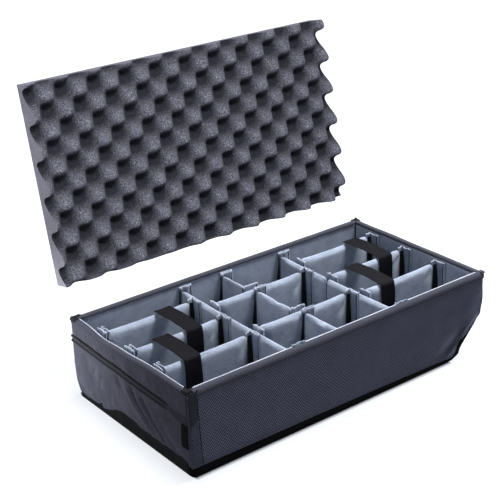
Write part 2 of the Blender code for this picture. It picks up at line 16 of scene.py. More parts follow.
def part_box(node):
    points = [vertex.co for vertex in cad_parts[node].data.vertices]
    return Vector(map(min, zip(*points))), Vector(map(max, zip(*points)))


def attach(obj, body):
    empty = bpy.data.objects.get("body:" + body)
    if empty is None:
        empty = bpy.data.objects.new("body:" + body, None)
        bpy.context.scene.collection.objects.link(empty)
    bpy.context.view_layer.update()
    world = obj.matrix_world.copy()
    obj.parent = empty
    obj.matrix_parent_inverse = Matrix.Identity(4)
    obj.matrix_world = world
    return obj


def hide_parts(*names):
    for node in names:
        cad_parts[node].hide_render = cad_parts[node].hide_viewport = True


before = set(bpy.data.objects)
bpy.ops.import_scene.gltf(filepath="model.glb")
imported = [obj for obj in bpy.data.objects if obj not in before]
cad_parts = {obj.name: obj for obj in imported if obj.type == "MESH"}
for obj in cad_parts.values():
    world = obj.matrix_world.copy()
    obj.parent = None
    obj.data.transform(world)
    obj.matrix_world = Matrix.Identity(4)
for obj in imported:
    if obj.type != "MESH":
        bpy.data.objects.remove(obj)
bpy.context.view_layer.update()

RIM_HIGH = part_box("rim_binding")[1]
HALF_X, HALF_Y, RIM = RIM_HIGH.x, RIM_HIGH.y, RIM_HIGH.z
RAMP_RUN = 0.085
RAMP_RISE = 0.090
RAMP_SLOPE = math.hypot(RAMP_RUN, RAMP_RISE)
ROOM_INSET = 0.013
ROOM_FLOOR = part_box("left_front")[0].z - 0.0003
WELT_Z = 0.130
print("tray", round(2 * HALF_X, 4), "by", round(2 * HALF_Y, 4), "by", round(RIM, 4), "m")


# %% [markdown]
# ## Camera
# The camera was solved from the photograph's outlines: a lens of about 90 mm, looking down at 24 degrees over
# the front left corner. Its three axes are given as they were solved, which is plainer than three turns.

# %% The camera
def camera_at(place, right, down, forward, lens):
    """A camera whose axes are given by the image's right and down and by the line of sight."""
    data = bpy.data.cameras.new("photo_camera")
    data.lens = lens
    data.sensor_width = 36
    made = bpy.data.objects.new("photo_camera", data)
    axes = Matrix((Vector(right), -Vector(down), -Vector(forward))).transposed()
    made.matrix_world = Matrix.Translation(place) @ axes.to_4x4()
    bpy.context.scene.collection.objects.link(made)
    bpy.context.scene.camera = made
    return made


camera_at((-1.4038, -1.7405, 1.2518), (0.7869, -0.6164, -0.0309), (-0.2699, -0.2987, -0.9154),
          (0.5550, 0.7286, -0.4014), 89.9)


# %% [markdown]
# ## Helpers for materials
# A material is a small graph of nodes. One function adds a node of any kind, fills its inputs from numbers or
# from other nodes' outputs, and sets its options. Colours are written as the hex values that the eye would
# pick, and turned to the linear values that the renderer works in.

# %% Material helpers
def linear(code):
    """An sRGB hex colour as linear red, green, blue and alpha."""
    shares = [int(code[i:i + 2], 16) / 255 for i in (1, 3, 5)]
    return tuple(c / 12.92 if c <= 0.04045 else ((c + 0.055) / 1.055) ** 2.4 for c in shares) + (1,)


def add(tree, kind, inputs=None, **settings):
    """Adds a node with its settings. Inputs are values, or other nodes' outputs to link."""
    made = tree.nodes.new("ShaderNode" + kind)
    for key, value in settings.items():
        setattr(made, key, value)
    for key, value in (inputs or {}).items():
        if isinstance(value, bpy.types.NodeSocket):
            tree.links.new(value, made.inputs[key])
        else:
            made.inputs[key].default_value = value
    return made


def new_material(name, roughness, sheen=0.0, sheen_tint="#FFFFFF", specular=0.5):
    """A Principled material. Returns it with its node tree and shader."""
    made = bpy.data.materials.new(name)
    made.use_nodes = True
    tree = made.node_tree
    shader = tree.nodes["Principled BSDF"]
    shader.inputs["Roughness"].default_value = roughness
    shader.inputs["Specular IOR Level"].default_value = specular
    shader.inputs["Sheen Weight"].default_value = sheen
    shader.inputs["Sheen Roughness"].default_value = 0.5
    shader.inputs["Sheen Tint"].default_value = linear(sheen_tint)
    return made, tree, shader


def thread_of(tree, along, pitch):
    """A round-topped rib, from 0 to 1, each pitch metres along a coordinate."""
    turns = add(tree, "Math", {0: along, 1: 2 * math.pi / pitch}, operation="MULTIPLY").outputs[0]
    wave = add(tree, "Math", {0: turns}, operation="SINE").outputs[0]
    return add(tree, "Math", {0: wave, 1: 0.5, 2: 0.5}, operation="MULTIPLY_ADD").outputs[0]


# %% [markdown]
# ## Cover fabric
# The sleeve is a heavy ribbed polyester, woven with raised diagonal cords and coated on the back. The eye sees
# a charcoal navy with fine slanting lines. The cords are about 3 mm apart, drawn a little coarser than the
# weave under them, which a photograph of this size can't show.

# %% Cover, binding, strip and laminate materials
MIX = {"data_type": "RGBA", "blend_type": "MIX"}


def uv_axes(tree):
    """The sewn length and height of a piece in metres, from its UV map."""
    split = add(tree, "SeparateXYZ", {0: add(tree, "UVMap").outputs[0]})
    return split.outputs[0], split.outputs[1]


def ribbed_fabric(name, dark, light, pitch, slant, depth, specular=0.1, sheen=0.05):
    """Woven fabric with raised cords that run at a slant, mottled a little as cloth is.

    Each fold's ridge gets a painted highlight and its hollow a painted shade, from a value that the cover gives
    its points.
    """
    made, tree, shader = new_material(name, 0.8, sheen, "#B8BACC", specular)
    u, v = uv_axes(tree)
    run, rise = math.cos(math.radians(slant)), math.sin(math.radians(slant))
    u_run, v_rise, v_run, u_rise = [
        add(tree, "Math", {0: axis, 1: factor}, operation="MULTIPLY").outputs[0]
        for axis, factor in ((u, run), (v, rise), (v, run), (u, rise))]
    turned = add(tree, "Math", {0: u_run, 1: v_rise}, operation="ADD").outputs[0]
    across = add(tree, "Math", {0: v_run, 1: u_rise}, operation="SUBTRACT").outputs[0]
    cord = thread_of(tree, turned, pitch)
    pick = thread_of(tree, across, pitch * 1.1)
    cord_part = add(tree, "Math", {0: cord, 1: 0.70}, operation="MULTIPLY").outputs[0]
    weave = add(tree, "Math", {0: pick, 1: 0.30, 2: cord_part}, operation="MULTIPLY_ADD").outputs[0]
    place = add(tree, "TexCoord").outputs["Object"]
    cloud = add(tree, "TexNoise", {"Vector": place, "Scale": 1 / 0.05, "Detail": 3.0, "Roughness": 0.5})
    weave_part = add(tree, "Math", {0: weave, 1: 0.85}, operation="MULTIPLY").outputs[0]
    shade = add(tree, "Math", {0: cloud.outputs["Fac"], 1: 0.25, 2: weave_part}, operation="MULTIPLY_ADD")
    # Painted highlight and shade of the cover's folds: lighter on each ridge, darker in each hollow.
    painted_fold_shade = add(tree, "Attribute", attribute_name="painted_fold_shade").outputs["Fac"]
    shade = add(tree, "Math", {0: painted_fold_shade, 1: 0.60, 2: shade.outputs[0]}, operation="MULTIPLY_ADD")
    share = add(tree, "MapRange", {"Value": shade.outputs[0], "From Min": 0.15, "From Max": 0.90})
    colour = add(tree, "Mix", {0: share.outputs[0], 6: linear(dark), 7: linear(light)}, **MIX)
    tree.links.new(colour.outputs[2], shader.inputs["Base Color"])
    relief = add(tree, "Bump", {"Height": weave, "Strength": 1.0, "Distance": depth})
    tree.links.new(relief.outputs[0], shader.inputs["Normal"])
    return made


cover_fabric = ribbed_fabric("ribbed polyester, woven and coated", "#181924", "#5A5D6E", 0.0046, -45, 0.0010)
cover_end_fabric = ribbed_fabric("ribbed polyester, seen across its ribs", "#26272F", "#3E3F4B", 0.0036, -45,
                                 0.0004)
binding_tape = ribbed_fabric("ribbed polyester binding tape, woven on the bias", "#22232B", "#41424D", 0.0036,
                             -45, 0.0004)
binding_back = ribbed_fabric("ribbed polyester binding tape, seen from inside", "#27282F", "#414249", 0.0024,
                             -45, 0.0002)
strip_tape = ribbed_fabric("corner binding tape, woven", "#0B0B11", "#2A2B35", 0.0046, -60, 0.0006)
strip_low = ribbed_fabric("corner binding tape, stretched flat", "#15161E", "#454755", 0.0046, -60, 0.0006)
welt_tape = ribbed_fabric("welt binding, seen across its ribs", "#1F202A", "#373948", 0.0030, -45, 0.0003,
                          0.05, 0.0)
corner_tape = ribbed_fabric("folded corner tape, woven", "#020203", "#0A0A0E", 0.0030, -60, 0.0005)
label_fabric = ribbed_fabric("satin label tape, woven", "#020203", "#08080A", 0.0012, 90, 0.0002, 0.03, 0.0)


def laminate(name):
    """Black polyethylene laminate, heat formed: nearly black, with a dull gloss and slight waves."""
    made, tree, shader = new_material(name, 0.5, 0.0, "#FFFFFF", 0.02)
    place = add(tree, "TexCoord").outputs["Object"]
    wear = add(tree, "TexNoise", {"Vector": place, "Scale": 1 / 0.02, "Detail": 4.0, "Roughness": 0.5})
    wear = wear.outputs["Fac"]
    colour = add(tree, "Mix", {0: wear, 6: linear("#010102"), 7: linear("#08080A")}, **MIX)
    tree.links.new(colour.outputs[2], shader.inputs["Base Color"])
    dull = add(tree, "MapRange", {"Value": wear, "From Min": 0.3, "From Max": 0.7, "To Min": 0.42,
                                  "To Max": 0.6})
    tree.links.new(dull.outputs[0], shader.inputs["Roughness"])
    waves = add(tree, "TexNoise", {"Vector": place, "Scale": 1 / 0.006, "Detail": 2.0, "Roughness": 0.5})
    relief = add(tree, "Bump", {"Height": waves.outputs["Fac"], "Strength": 1.0, "Distance": 0.0004})
    tree.links.new(relief.outputs[0], shader.inputs["Normal"])
    return made


base_laminate = laminate("black polyethylene laminate, heat formed")


# %% [markdown]
# ## Loop lining
# Brushed nylon loop is knitted, then brushed so that its loops stand up for the hooks to catch. It has no
# gloss, a soft pale edge where it turns away from the eye, and small clouds where the pile leans.

# %% Loop, webbing, thread and foam materials
def brushed_loop(name, dark, light, depth=0.0007):
    """Brushed pile: clouds of lean over fine grain, with a pale sheen."""
    made, tree, shader = new_material(name, 0.95, 0.35, "#E2E6EE", 0.15)
    place = add(tree, "TexCoord").outputs["Object"]
    cloud = add(tree, "TexNoise", {"Vector": place, "Scale": 1 / 0.030, "Detail": 3.0, "Roughness": 0.6})
    grain = add(tree, "TexNoise", {"Vector": place, "Scale": 1 / 0.0032, "Detail": 3.0, "Roughness": 0.7})
    cloud_part = add(tree, "Math", {0: cloud.outputs["Fac"], 1: 0.55}, operation="MULTIPLY").outputs[0]
    grain_part = add(tree, "Math", {0: grain.outputs["Fac"], 1: 0.45}, operation="MULTIPLY").outputs[0]
    shade = add(tree, "Math", {0: cloud_part, 1: grain_part}, operation="ADD").outputs[0]
    share = add(tree, "MapRange", {"Value": shade, "From Min": 0.36, "From Max": 0.64})
    colour = add(tree, "Mix", {0: share.outputs[0], 6: linear(dark), 7: linear(light)}, **MIX)
    tree.links.new(colour.outputs[2], shader.inputs["Base Color"])
    relief = add(tree, "Bump", {"Height": grain.outputs["Fac"], "Strength": 1.0, "Distance": depth})
    tree.links.new(relief.outputs[0], shader.inputs["Normal"])
    return made


loop_lining = brushed_loop("brushed nylon loop, knitted and raised", "#6F798A", "#8791A2")
pad_loop = brushed_loop("brushed nylon loop of the dividers", "#747D8E", "#909AAA")
# A darker copy of the pad loop: a painted shade on the flaps' recessed panels.
shaded_flap_loop = brushed_loop("hook flap facing, loop painted with shade", "#566072", "#727D8E", 0.0005)
# A paler copy of the loop: a painted highlight on the flaps' top and free edges, and on the top band of the
# lining's back and right walls.
pale_highlight_loop = brushed_loop("turned flap edge, loop painted with highlight", "#757D8C", "#99A1B0", 0.0003)
# A much paler copy of the lining loop: a painted highlight on the turned edge of the left and front walls.
rim_highlight_loop = brushed_loop("folded lining edge, loop painted with highlight", "#A0A6B4", "#C0C5D2", 0.0003)


def webbing_material(name):
    """Polypropylene webbing: black, with cross ribs 2 mm apart and finer threads along it."""
    made, tree, shader = new_material(name, 0.7, 0.0, "#8A8890", 0.05)
    u, v = uv_axes(tree)
    ribs = thread_of(tree, v, 0.0021)
    threads = thread_of(tree, u, 0.0026)
    threads = add(tree, "Math", {0: threads, 1: 0.4, 2: 0.6}, operation="MULTIPLY_ADD").outputs[0]
    weave = add(tree, "Math", {0: ribs, 1: threads}, operation="MULTIPLY").outputs[0]
    colour = add(tree, "Mix", {0: weave, 6: linear("#040406"), 7: linear("#15151B")}, **MIX)
    tree.links.new(colour.outputs[2], shader.inputs["Base Color"])
    relief = add(tree, "Bump", {"Height": weave, "Strength": 1.0, "Distance": 0.0004})
    tree.links.new(relief.outputs[0], shader.inputs["Normal"])
    return made


webbing = webbing_material("polypropylene webbing, woven")


def plain_thread(name, code):
    """Bonded sewing thread, twisted: a plain colour with a faint gloss and a twist in its bump."""
    made, tree, shader = new_material(name, 0.7, 0.0, "#FFFFFF", 0.1)
    place = add(tree, "TexCoord").outputs["Object"]
    twist = add(tree, "TexNoise", {"Vector": place, "Scale": 1 / 0.0015, "Detail": 1.0, "Roughness": 0.5})
    twist = twist.outputs["Fac"]
    tint = tuple(0.75 * part for part in linear(code)[:3]) + (1,)
    colour = add(tree, "Mix", {0: twist, 6: tint, 7: linear(code)}, **MIX)
    tree.links.new(colour.outputs[2], shader.inputs["Base Color"])
    relief = add(tree, "Bump", {"Height": twist, "Strength": 1.0, "Distance": 0.0002})
    tree.links.new(relief.outputs[0], shader.inputs["Normal"])
    return made


black_thread = plain_thread("black bonded thread, twisted", "#070709")


def hook_tape(name):
    """Nylon hook tape: a black ground with rows of small stiff hooks, drawn 2 mm apart."""
    made, tree, shader = new_material(name, 0.75, 0.0, "#FFFFFF", 0.1)
    place = add(tree, "TexCoord").outputs["Object"]
    hooks = add(tree, "TexVoronoi", {"Vector": place, "Scale": 1 / 0.002}).outputs["Distance"]
    share = add(tree, "MapRange", {"Value": hooks, "From Min": 0.45, "From Max": 0.1})
    colour = add(tree, "Mix", {0: share.outputs[0], 6: linear("#060709"), 7: linear("#22242C")}, **MIX)
    tree.links.new(colour.outputs[2], shader.inputs["Base Color"])
    relief = add(tree, "Bump", {"Height": hooks, "Strength": 1.0, "Distance": 0.0006})
    tree.links.new(relief.outputs[0], shader.inputs["Normal"])
    return made


# Its bands by the pads' ends are also painted shadow.
hook_tape_and_shadow = hook_tape("black nylon hook tape, also painted shadow")


def polyurethane_foam(name, dark, light, speck, pit_shade=None):
    """Open-cell polyurethane foam, cut: dull, with torn cells that catch the light as pale specks.

    Its cells are about 0.6 mm across, which is too fine to show, so they are drawn at 3 mm. The pits get a
    painted shade: the deeper a point lies, by the "rise" of each point, the darker it is.
    """
    made, tree, shader = new_material(name, 1.0, 0.1, "#C9C9D4", 0.05)
    place = add(tree, "TexCoord").outputs["Object"]
    cells = add(tree, "TexVoronoi", {"Vector": place, "Scale": 1 / 0.0036}).outputs["Distance"]
    grain = add(tree, "TexNoise", {"Vector": place, "Scale": 1 / 0.0028, "Detail": 2.0, "Roughness": 0.8})
    cloud = add(tree, "TexNoise", {"Vector": place, "Scale": 1 / 0.02, "Detail": 2.0, "Roughness": 0.5})
    grain, cloud = grain.outputs["Fac"], cloud.outputs["Fac"]
    mottle = add(tree, "MapRange", {"Value": grain, "From Min": 0.36, "From Max": 0.64})
    base = add(tree, "Mix", {0: mottle.outputs[0], 6: linear(dark), 7: linear(light)}, **MIX)
    blotch = add(tree, "MapRange", {"Value": cloud, "From Min": 0.3, "From Max": 0.7, "To Max": 0.25})
    shaded = add(tree, "Mix", {0: blotch.outputs[0], 6: base.outputs[2], 7: linear(dark)}, **MIX)
    torn = add(tree, "MapRange", {"Value": cells, "From Min": 0.36, "From Max": 0.14}).outputs[0]
    coarse = add(tree, "MapRange", {"Value": grain, "From Min": 0.50, "From Max": 0.62}).outputs[0]
    specks = add(tree, "Math", {0: torn, 1: coarse}, operation="MULTIPLY").outputs[0]
    colour = add(tree, "Mix", {0: specks, 6: shaded.outputs[2], 7: linear(speck)}, **MIX)
    # Painted shade in the pits: the lower a point's rise, the nearer its colour comes to the last colour given.
    if pit_shade:
        rise = add(tree, "Attribute", attribute_name="rise").outputs["Fac"]
        depth = add(tree, "MapRange", {"Value": rise, "From Min": 0.82, "From Max": 0.28, "To Max": 0.90})
        colour = add(tree, "Mix", {0: depth.outputs[0], 6: colour.outputs[2], 7: linear(pit_shade)}, **MIX)
    tree.links.new(colour.outputs[2], shader.inputs["Base Color"])
    height = add(tree, "Math", {0: cells, 1: grain}, operation="ADD").outputs[0]
    relief = add(tree, "Bump", {"Height": height, "Strength": 1.0, "Distance": 0.0008})
    tree.links.new(relief.outputs[0], shader.inputs["Normal"])
    return made


# The last colour is the painted shade at the bottom of the pits.
lid_foam_skin = polyurethane_foam("charcoal polyurethane foam, convoluted cut", "#3A3B43", "#7A7B87", "#AEAEBA",
                                  "#191A1F")
# The same foam in a lighter copy for the sawn sides: painted light on them.
cut_foam_lighter_copy = polyurethane_foam("charcoal polyurethane foam, sawn square", "#74737E", "#96959F", "#C2C2CE")
board_foam_skin = polyurethane_foam("grey polyethylene foam board, skived", "#3F4046", "#55565E", "#7C7D88")
print(len(bpy.data.materials), "materials")


# %% [markdown]
# ## Helpers for shapes
# Most pieces are sheets: a grid of points with rows going up and columns going along. numpy holds the grid,
# and one function turns it into a mesh with a UV map in metres, so that every weave has its real scale.

# %% Shape helpers
def mesh_piece(name, verts, faces, material, uvs=None, smooth=True):
    """A new object from points and faces, with a UV pair for each point if given."""
    mesh = bpy.data.meshes.new(name)
    mesh.from_pydata([tuple(v) for v in verts], [], [tuple(f) for f in faces])
    mesh.materials.append(material)
    mesh.validate()
    if uvs is not None:
        layer = mesh.uv_layers.new(name="UVMap")
        for loop in mesh.loops:
            layer.data[loop.index].uv = uvs[loop.vertex_index]
    mesh.polygons.foreach_set("use_smooth", [smooth] * len(mesh.polygons))
    made = bpy.data.objects.new(name, mesh)
    bpy.context.scene.collection.objects.link(made)
    return made


def grid_faces(rows, columns, around=False, start=0):
    """The faces of a grid of points, closed around its columns if asked."""
    last = columns if around else columns - 1
    faces = []
    for r in range(rows - 1):
        for c in range(last):
            d = (c + 1) % columns
            faces.append((start + r * columns + c, start + r * columns + d,
                          start + (r + 1) * columns + d, start + (r + 1) * columns + c))
    return faces


def blank_grid(rows, columns):
    """Room for the places and the UV pairs of a grid of points."""
    return np.zeros((rows, columns, 3)), np.zeros((rows, columns, 2))


def cut_through(bm, place, normal):
    """Cuts every face of a bmesh along a plane and keeps both sides."""
    bmesh.ops.bisect_plane(bm, geom=bm.verts[:] + bm.edges[:] + bm.faces[:], plane_co=place, plane_no=normal)


def sheet_piece(name, grid, uvs, material, around=False, thickness=0.0, rounds=0):
    """A sheet from a grid of rows by columns by 3, made solid inwards and then rounded by subdivision."""
    rows, columns = grid.shape[:2]
    made = mesh_piece(name, grid.reshape(-1, 3), grid_faces(rows, columns, around), material,
                      [tuple(uv) for uv in uvs.reshape(-1, 2)])
    if thickness:
        solid = made.modifiers.new("cloth thickness", "SOLIDIFY")
        solid.thickness = thickness
        solid.offset = -1
    if rounds:
        smooth = made.modifiers.new("soft edges", "SUBSURF")
        smooth.levels = smooth.render_levels = rounds
    return made


def ring(half_x, half_y, radius, step, corner_steps=6):
    """Points round a rectangle with rounded corners: places, outward normals and length along."""
    path = [Vector((0, half_y))]
    for side_x, side_y, start in ((-1, 1, 90), (-1, -1, 180), (1, -1, 270), (1, 1, 360)):
        centre = Vector((side_x * (half_x - radius), side_y * (half_y - radius)))
        for turn in range(corner_steps + 1):
            angle = math.radians(start + 90 * turn / corner_steps)
            path.append(centre + radius * Vector((math.cos(angle), math.sin(angle))))
    path.append(Vector((0, half_y)))
    places = []
    for here, there in zip(path, path[1:]):
        parts = max(1, round((there - here).length / step))
        places += [here.lerp(there, part / parts) for part in range(parts)]
    count = len(places)
    normals = []
    lengths = [0.0]
    for index, place in enumerate(places):
        along = places[(index + 1) % count] - places[index - 1]
        normals.append(Vector((along.y, -along.x)).normalized())
        lengths.append(lengths[-1] + (places[(index + 1) % count] - place).length)
    return places, normals, lengths[:-1]


def ease(value):
    """0 below 0, 1 above 1, and smooth between."""
    value = min(1.0, max(0.0, value))
    return value * value * (3 - 2 * value)


def wander(x, y, z, size):
    """Smooth noise from -1 to 1 whose bumps are about size across."""
    return noise.noise(Vector((x, y, z)) / size)


def ramp_z(x, inset):
    """The height of the ramp at the wheel end, set in by inset."""
    return (inset * RAMP_SLOPE + (x - HALF_X + RAMP_RUN) * RAMP_RISE) / RAMP_RUN


def fold(p, q, start, end, width, height):
    """A rounded fold on a wall that runs from start to end, as an offset at the point p, q."""
    along = Vector(end) - Vector(start)
    offset = Vector((p, q)) - Vector(start)
    share = offset.dot(along) / along.length_squared
    aside = (offset - along * share).length
    return height * math.exp(-((aside / width) ** 2)) * ease(2.2 * share + 0.3) * ease(2.5 - 2.2 * share)


def seam_cord(name, points, radius, material, body="tray"):
    """A line of piping or thread along points, as a tube of real mesh."""
    sides = 6
    grid, uvs = blank_grid(len(points), sides)
    path = [Vector(p) for p in points]
    for r, place in enumerate(path):
        along = (path[min(r + 1, len(path) - 1)] - path[max(r - 1, 0)]).normalized()
        side = along.cross(Vector((0.31, 0.17, 0.93))).normalized()
        up = side.cross(along)
        for c in range(sides):
            angle = 2 * math.pi * c / sides
            grid[r, c] = place + radius * (math.cos(angle) * side + math.sin(angle) * up)
            uvs[r, c] = (r * 0.002, c * 0.001)
    made = sheet_piece(name, grid, uvs, material, around=True)
    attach(made, body)
    return made


# %% [markdown]
# ## Base pan
# The tray stands on a black laminated pan. On the real one the sheet is heated and turned up, so its bottom
# edge is round. It is made here from the tray's rounded side outline, carried across the width and drawn in
# along a quarter circle towards both sides, then cut open above the bottom and given its sheet thickness.

# %% The hem of the cover, which the pan also needs
COVER_OUT = 0.0015
FRONT_HEM = [(-0.375, 0.0190), (-0.262, 0.0175), (-0.014, 0.0145), (0.149, 0.0115), (0.260, 0.0085),
             (0.290, 0.0080)]
RAMP_HEM = [(0.290, 0.0060), (0.303, 0.0150), (0.320, 0.0100), (0.347, 0.0045), (0.375, -0.0010)]
SKIRT_HEM = [(-0.200, 0.018), (-0.172, 0.023), (-0.120, 0.028), (-0.070, 0.028), (-0.020, 0.030),
             (0.023, 0.035), (0.048, 0.031), (0.074, 0.018), (0.100, 0.010), (0.153, 0.009), (0.180, 0.011),
             (0.200, 0.016)]


def skirt_hem(y):
    """The hem's height along the handle end."""
    return float(np.interp(y, *zip(*SKIRT_HEM)))


def rim_sag(y, z, normal_x):
    """How far the handle end's wall sags at a place, most at the rim and nothing below the welt."""
    if normal_x > -0.5:
        return 0.0
    sag = 0.0080 * math.exp(-((y - 0.085) / 0.045) ** 2) + 0.0050 * math.exp(-((y - 0.005) / 0.05) ** 2)
    return sag * ease((z - WELT_Z) / (RIM - WELT_Z))


def cover_bottom(x, y, normal_x):
    """The hem's height at a place round the tray."""
    along = float(np.interp(x, *zip(*FRONT_HEM)))
    along = max(along, ramp_z(min(x, HALF_X - COVER_OUT), float(np.interp(x, *zip(*RAMP_HEM)))))
    end = ease((-normal_x - 0.2) / 0.8)
    return along * (1 - end) + skirt_hem(y) * end


print("hem from", round(cover_bottom(-0.3, -0.19, 0.0), 4), "to", round(cover_bottom(0.36, -0.19, 0.0), 4), "m")

# %% The base pan
PAN_INSET = HALF_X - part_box("base_pan")[1].x
PAN_DEPTH = 0.035
END_DRAW = 0.005
PAN_LIP = 0.0018
PAN_ROUND = 0.022
PAN_BEND, BOARD_BEND = 0.004, 0.013


def rounded_outline(corners, steps=9):
    """An outline from corners of x, z and radius: its points, their outward normals and side radii."""
    points = []
    for index, (x, z, radius, low_side, high_side) in enumerate(corners):
        here = Vector((x, z))
        before = (Vector(corners[index - 1][:2]) - here).normalized()
        after = (Vector(corners[(index + 1) % len(corners)][:2]) - here).normalized()
        half = before.angle(after) / 2
        centre = here + (before + after).normalized() * (radius / math.sin(half))
        first = here + before * (radius / math.tan(half)) - centre
        last = here + after * (radius / math.tan(half)) - centre
        start = math.atan2(first.y, first.x)
        turn = (math.atan2(last.y, last.x) - start + math.pi) % (2 * math.pi) - math.pi
        for step in range(steps + 1):
            angle = start + turn * step / steps
            arm = Vector((math.cos(angle), math.sin(angle)))
            points.append((centre + radius * arm, arm, low_side + (high_side - low_side) * step / steps))
    return points


def pan_form(inset, rounding, inner=False):
    """A closed block of the tray's side outline, set in from the envelope, with round lower edges.

    The inner form cuts the boards. A Boolean can't take a form that folds over itself, so there no side is
    drawn in by more than its corner's radius.
    """
    bend = BOARD_BEND if inner else PAN_BEND
    left_top, right_top = (0.002, 0.002) if inner else (0.014, rounding)
    left, right, side = -HALF_X + inset, HALF_X - inset, HALF_Y - inset
    floor = max(0.0, inset - PAN_INSET)
    top = RIM - 0.004
    outline = rounded_outline([
        (left, top, 0.002, left_top, left_top), (left, WELT_Z, 0.030, 0.014, 0.014),
        (left + END_DRAW - 0.002, floor, bend, 0.012, rounding),
        (HALF_X - RAMP_RUN - floor * 0.4, floor, 0.022, rounding, rounding),
        (right, ramp_z(right, floor), 0.060, rounding, rounding), (right, top, 0.002, right_top, right_top)])
    near = [PAN_ROUND * (1 - math.cos(math.pi / 2 * i / 7)) for i in range(8)]
    offsets = near + [PAN_ROUND + (2 * side - 2 * PAN_ROUND) * i / 20 for i in range(1, 20)]
    offsets += [2 * side - n for n in reversed(near)]
    bm = bmesh.new()
    rows = []
    for offset in offsets:
        aside = min(offset, 2 * side - offset)
        row = []
        for place, normal, radius in outline:
            share = 1 - min(1.0, aside / radius)
            drawn = radius * (1 - math.sqrt(1 - share * share))
            spot = place - normal * drawn
            row.append(bm.verts.new((spot.x, offset - side, spot.y)))
        rows.append(row)
    for here, there in zip(rows, rows[1:]):
        for i in range(len(outline)):
            j = (i + 1) % len(outline)
            bm.faces.new((here[i], here[j], there[j], there[i]))
    bm.faces.new(rows[0])
    bm.faces.new(reversed(rows[-1]))
    bmesh.ops.recalc_face_normals(bm, faces=bm.faces)
    return bm


def object_of(bm, name, material):
    """A linked object from a bmesh, which is freed."""
    mesh = bpy.data.meshes.new(name)
    bm.to_mesh(mesh)
    bm.free()
    mesh.materials.append(material)
    mesh.polygons.foreach_set("use_smooth", [True] * len(mesh.polygons))
    made = bpy.data.objects.new(name, mesh)
    bpy.context.scene.collection.objects.link(made)
    return made


def base_pan():
    """The turned-up pan, with round lower edges and a cut rim."""
    bm = pan_form(PAN_INSET, 0.003)
    up = Vector((-RAMP_RISE, 0, RAMP_RUN)).normalized()
    corner = Vector((HALF_X - RAMP_RUN, 0, 0)) + up * PAN_DEPTH
    level = Vector((0, 0, PAN_DEPTH))
    for place, normal in ((level, Vector((0, 0, 1))), (corner, up)):
        cut_through(bm, place, normal)
    gone = [f for f in bm.faces if f.calc_center_median().z > PAN_DEPTH
            and (f.calc_center_median() - corner).dot(up) > 0]
    bmesh.ops.delete(bm, geom=gone, context="FACES")
    cuts = [(Vector((0.01 * i, 0, 0)), Vector((1, 0, 0))) for i in range(-37, 38)]
    cuts += [(Vector((0, 0, 0.003 * i)), Vector((0, 0, 1))) for i in range(1, 26)]
    for place, normal in cuts:
        cut_through(bm, place, normal)
    for vert in bm.verts:
        x, y, z = vert.co
        edge = ease((abs(y) - HALF_Y + PAN_INSET + 0.005) / 0.003)
        bare = ease((cover_bottom(x, y, 0.0) - 0.0008 - z) / 0.003) * ease((x + HALF_X) / 0.02)
        tuck = 0.0050 * math.exp(-((x - 0.302) ** 2 + (z - 0.012) ** 2) / 0.00007) * edge
        lip = math.copysign(PAN_LIP * bare * edge, y)
        vert.co += Vector((0.8 * tuck, lip, -0.6 * tuck))
    made = object_of(bm, "base_pan_formed", base_laminate)
    solid = made.modifiers.new("sheet", "SOLIDIFY")
    solid.thickness = 0.0008
    solid.offset = -1
    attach(made, "tray")
    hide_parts("base_pan")
    return made


print("pan", len(base_pan().data.polygons), "faces")


# %% [markdown]
# ## Outer cover
# A fabric sleeve is sewn round the tray. Its hem follows the pan, and at the handle end it rises in an arch
# over the bulge of the case's handle tube. The collar above the welt is stiff, and the skirt below it hangs
# loose in long slanting folds. It is one grid carried round the tray. Each point is moved in or out by the
# folds at its place, which gives real relief that bump can't.

# %% The outer cover
SKIRT_FOLDS = [
    ((-0.002, 0.120), (-0.082, 0.046), 0.0050, -0.0072),
    ((0.014, 0.118), (-0.062, 0.044), 0.0085, 0.0058),
    ((-0.022, 0.116), (-0.100, 0.044), 0.0070, 0.0058),
    ((-0.040, 0.112), (-0.116, 0.038), 0.0045, -0.0056),
    ((-0.060, 0.108), (-0.136, 0.036), 0.0080, 0.0040),
    ((0.040, 0.122), (0.020, 0.090), 0.0060, -0.0028),
    ((0.056, 0.052), (0.042, 0.030), 0.0040, 0.0030),
    ((0.110, 0.112), (0.070, 0.060), 0.0130, 0.0034),
    ((0.096, 0.106), (0.120, 0.084), 0.0050, -0.0018),
    ((0.078, 0.100), (0.096, 0.066), 0.0050, -0.0018),
    ((0.150, 0.112), (0.118, 0.040), 0.0140, -0.0026),
    ((0.186, 0.060), (0.120, 0.016), 0.0100, 0.0030),
    ((-0.076, 0.090), (-0.180, 0.105), 0.0060, -0.0016),
    ((-0.120, 0.080), (-0.180, 0.044), 0.0120, 0.0030),
]
WHEEL_FOLDS = [
    ((0.356, 0.086), (0.308, 0.034), 0.0050, 0.0060),
    ((0.322, 0.040), (0.268, 0.006), 0.0040, 0.0042),
    ((0.330, 0.066), (0.262, 0.016), 0.0110, -0.0030),
    ((0.300, 0.060), (0.225, 0.020), 0.0100, 0.0030),
    ((0.372, 0.140), (0.335, 0.070), 0.0130, 0.0030),
]


def folds_at(x, y, z, normal_x):
    """The folds at a point of the cover: the handle end's, and on the long sides those by the ramp."""
    if normal_x < -0.5:
        return sum(fold(y, z, *shape) for shape in SKIRT_FOLDS) * (0.15 + 0.85 * ease((WELT_Z - z) / 0.03))
    if abs(normal_x) < 0.5:
        return sum(fold(x, z, *shape) for shape in WHEEL_FOLDS) * ease((x - 0.22) / 0.05)
    return 0.0


BELLY = 0.0035


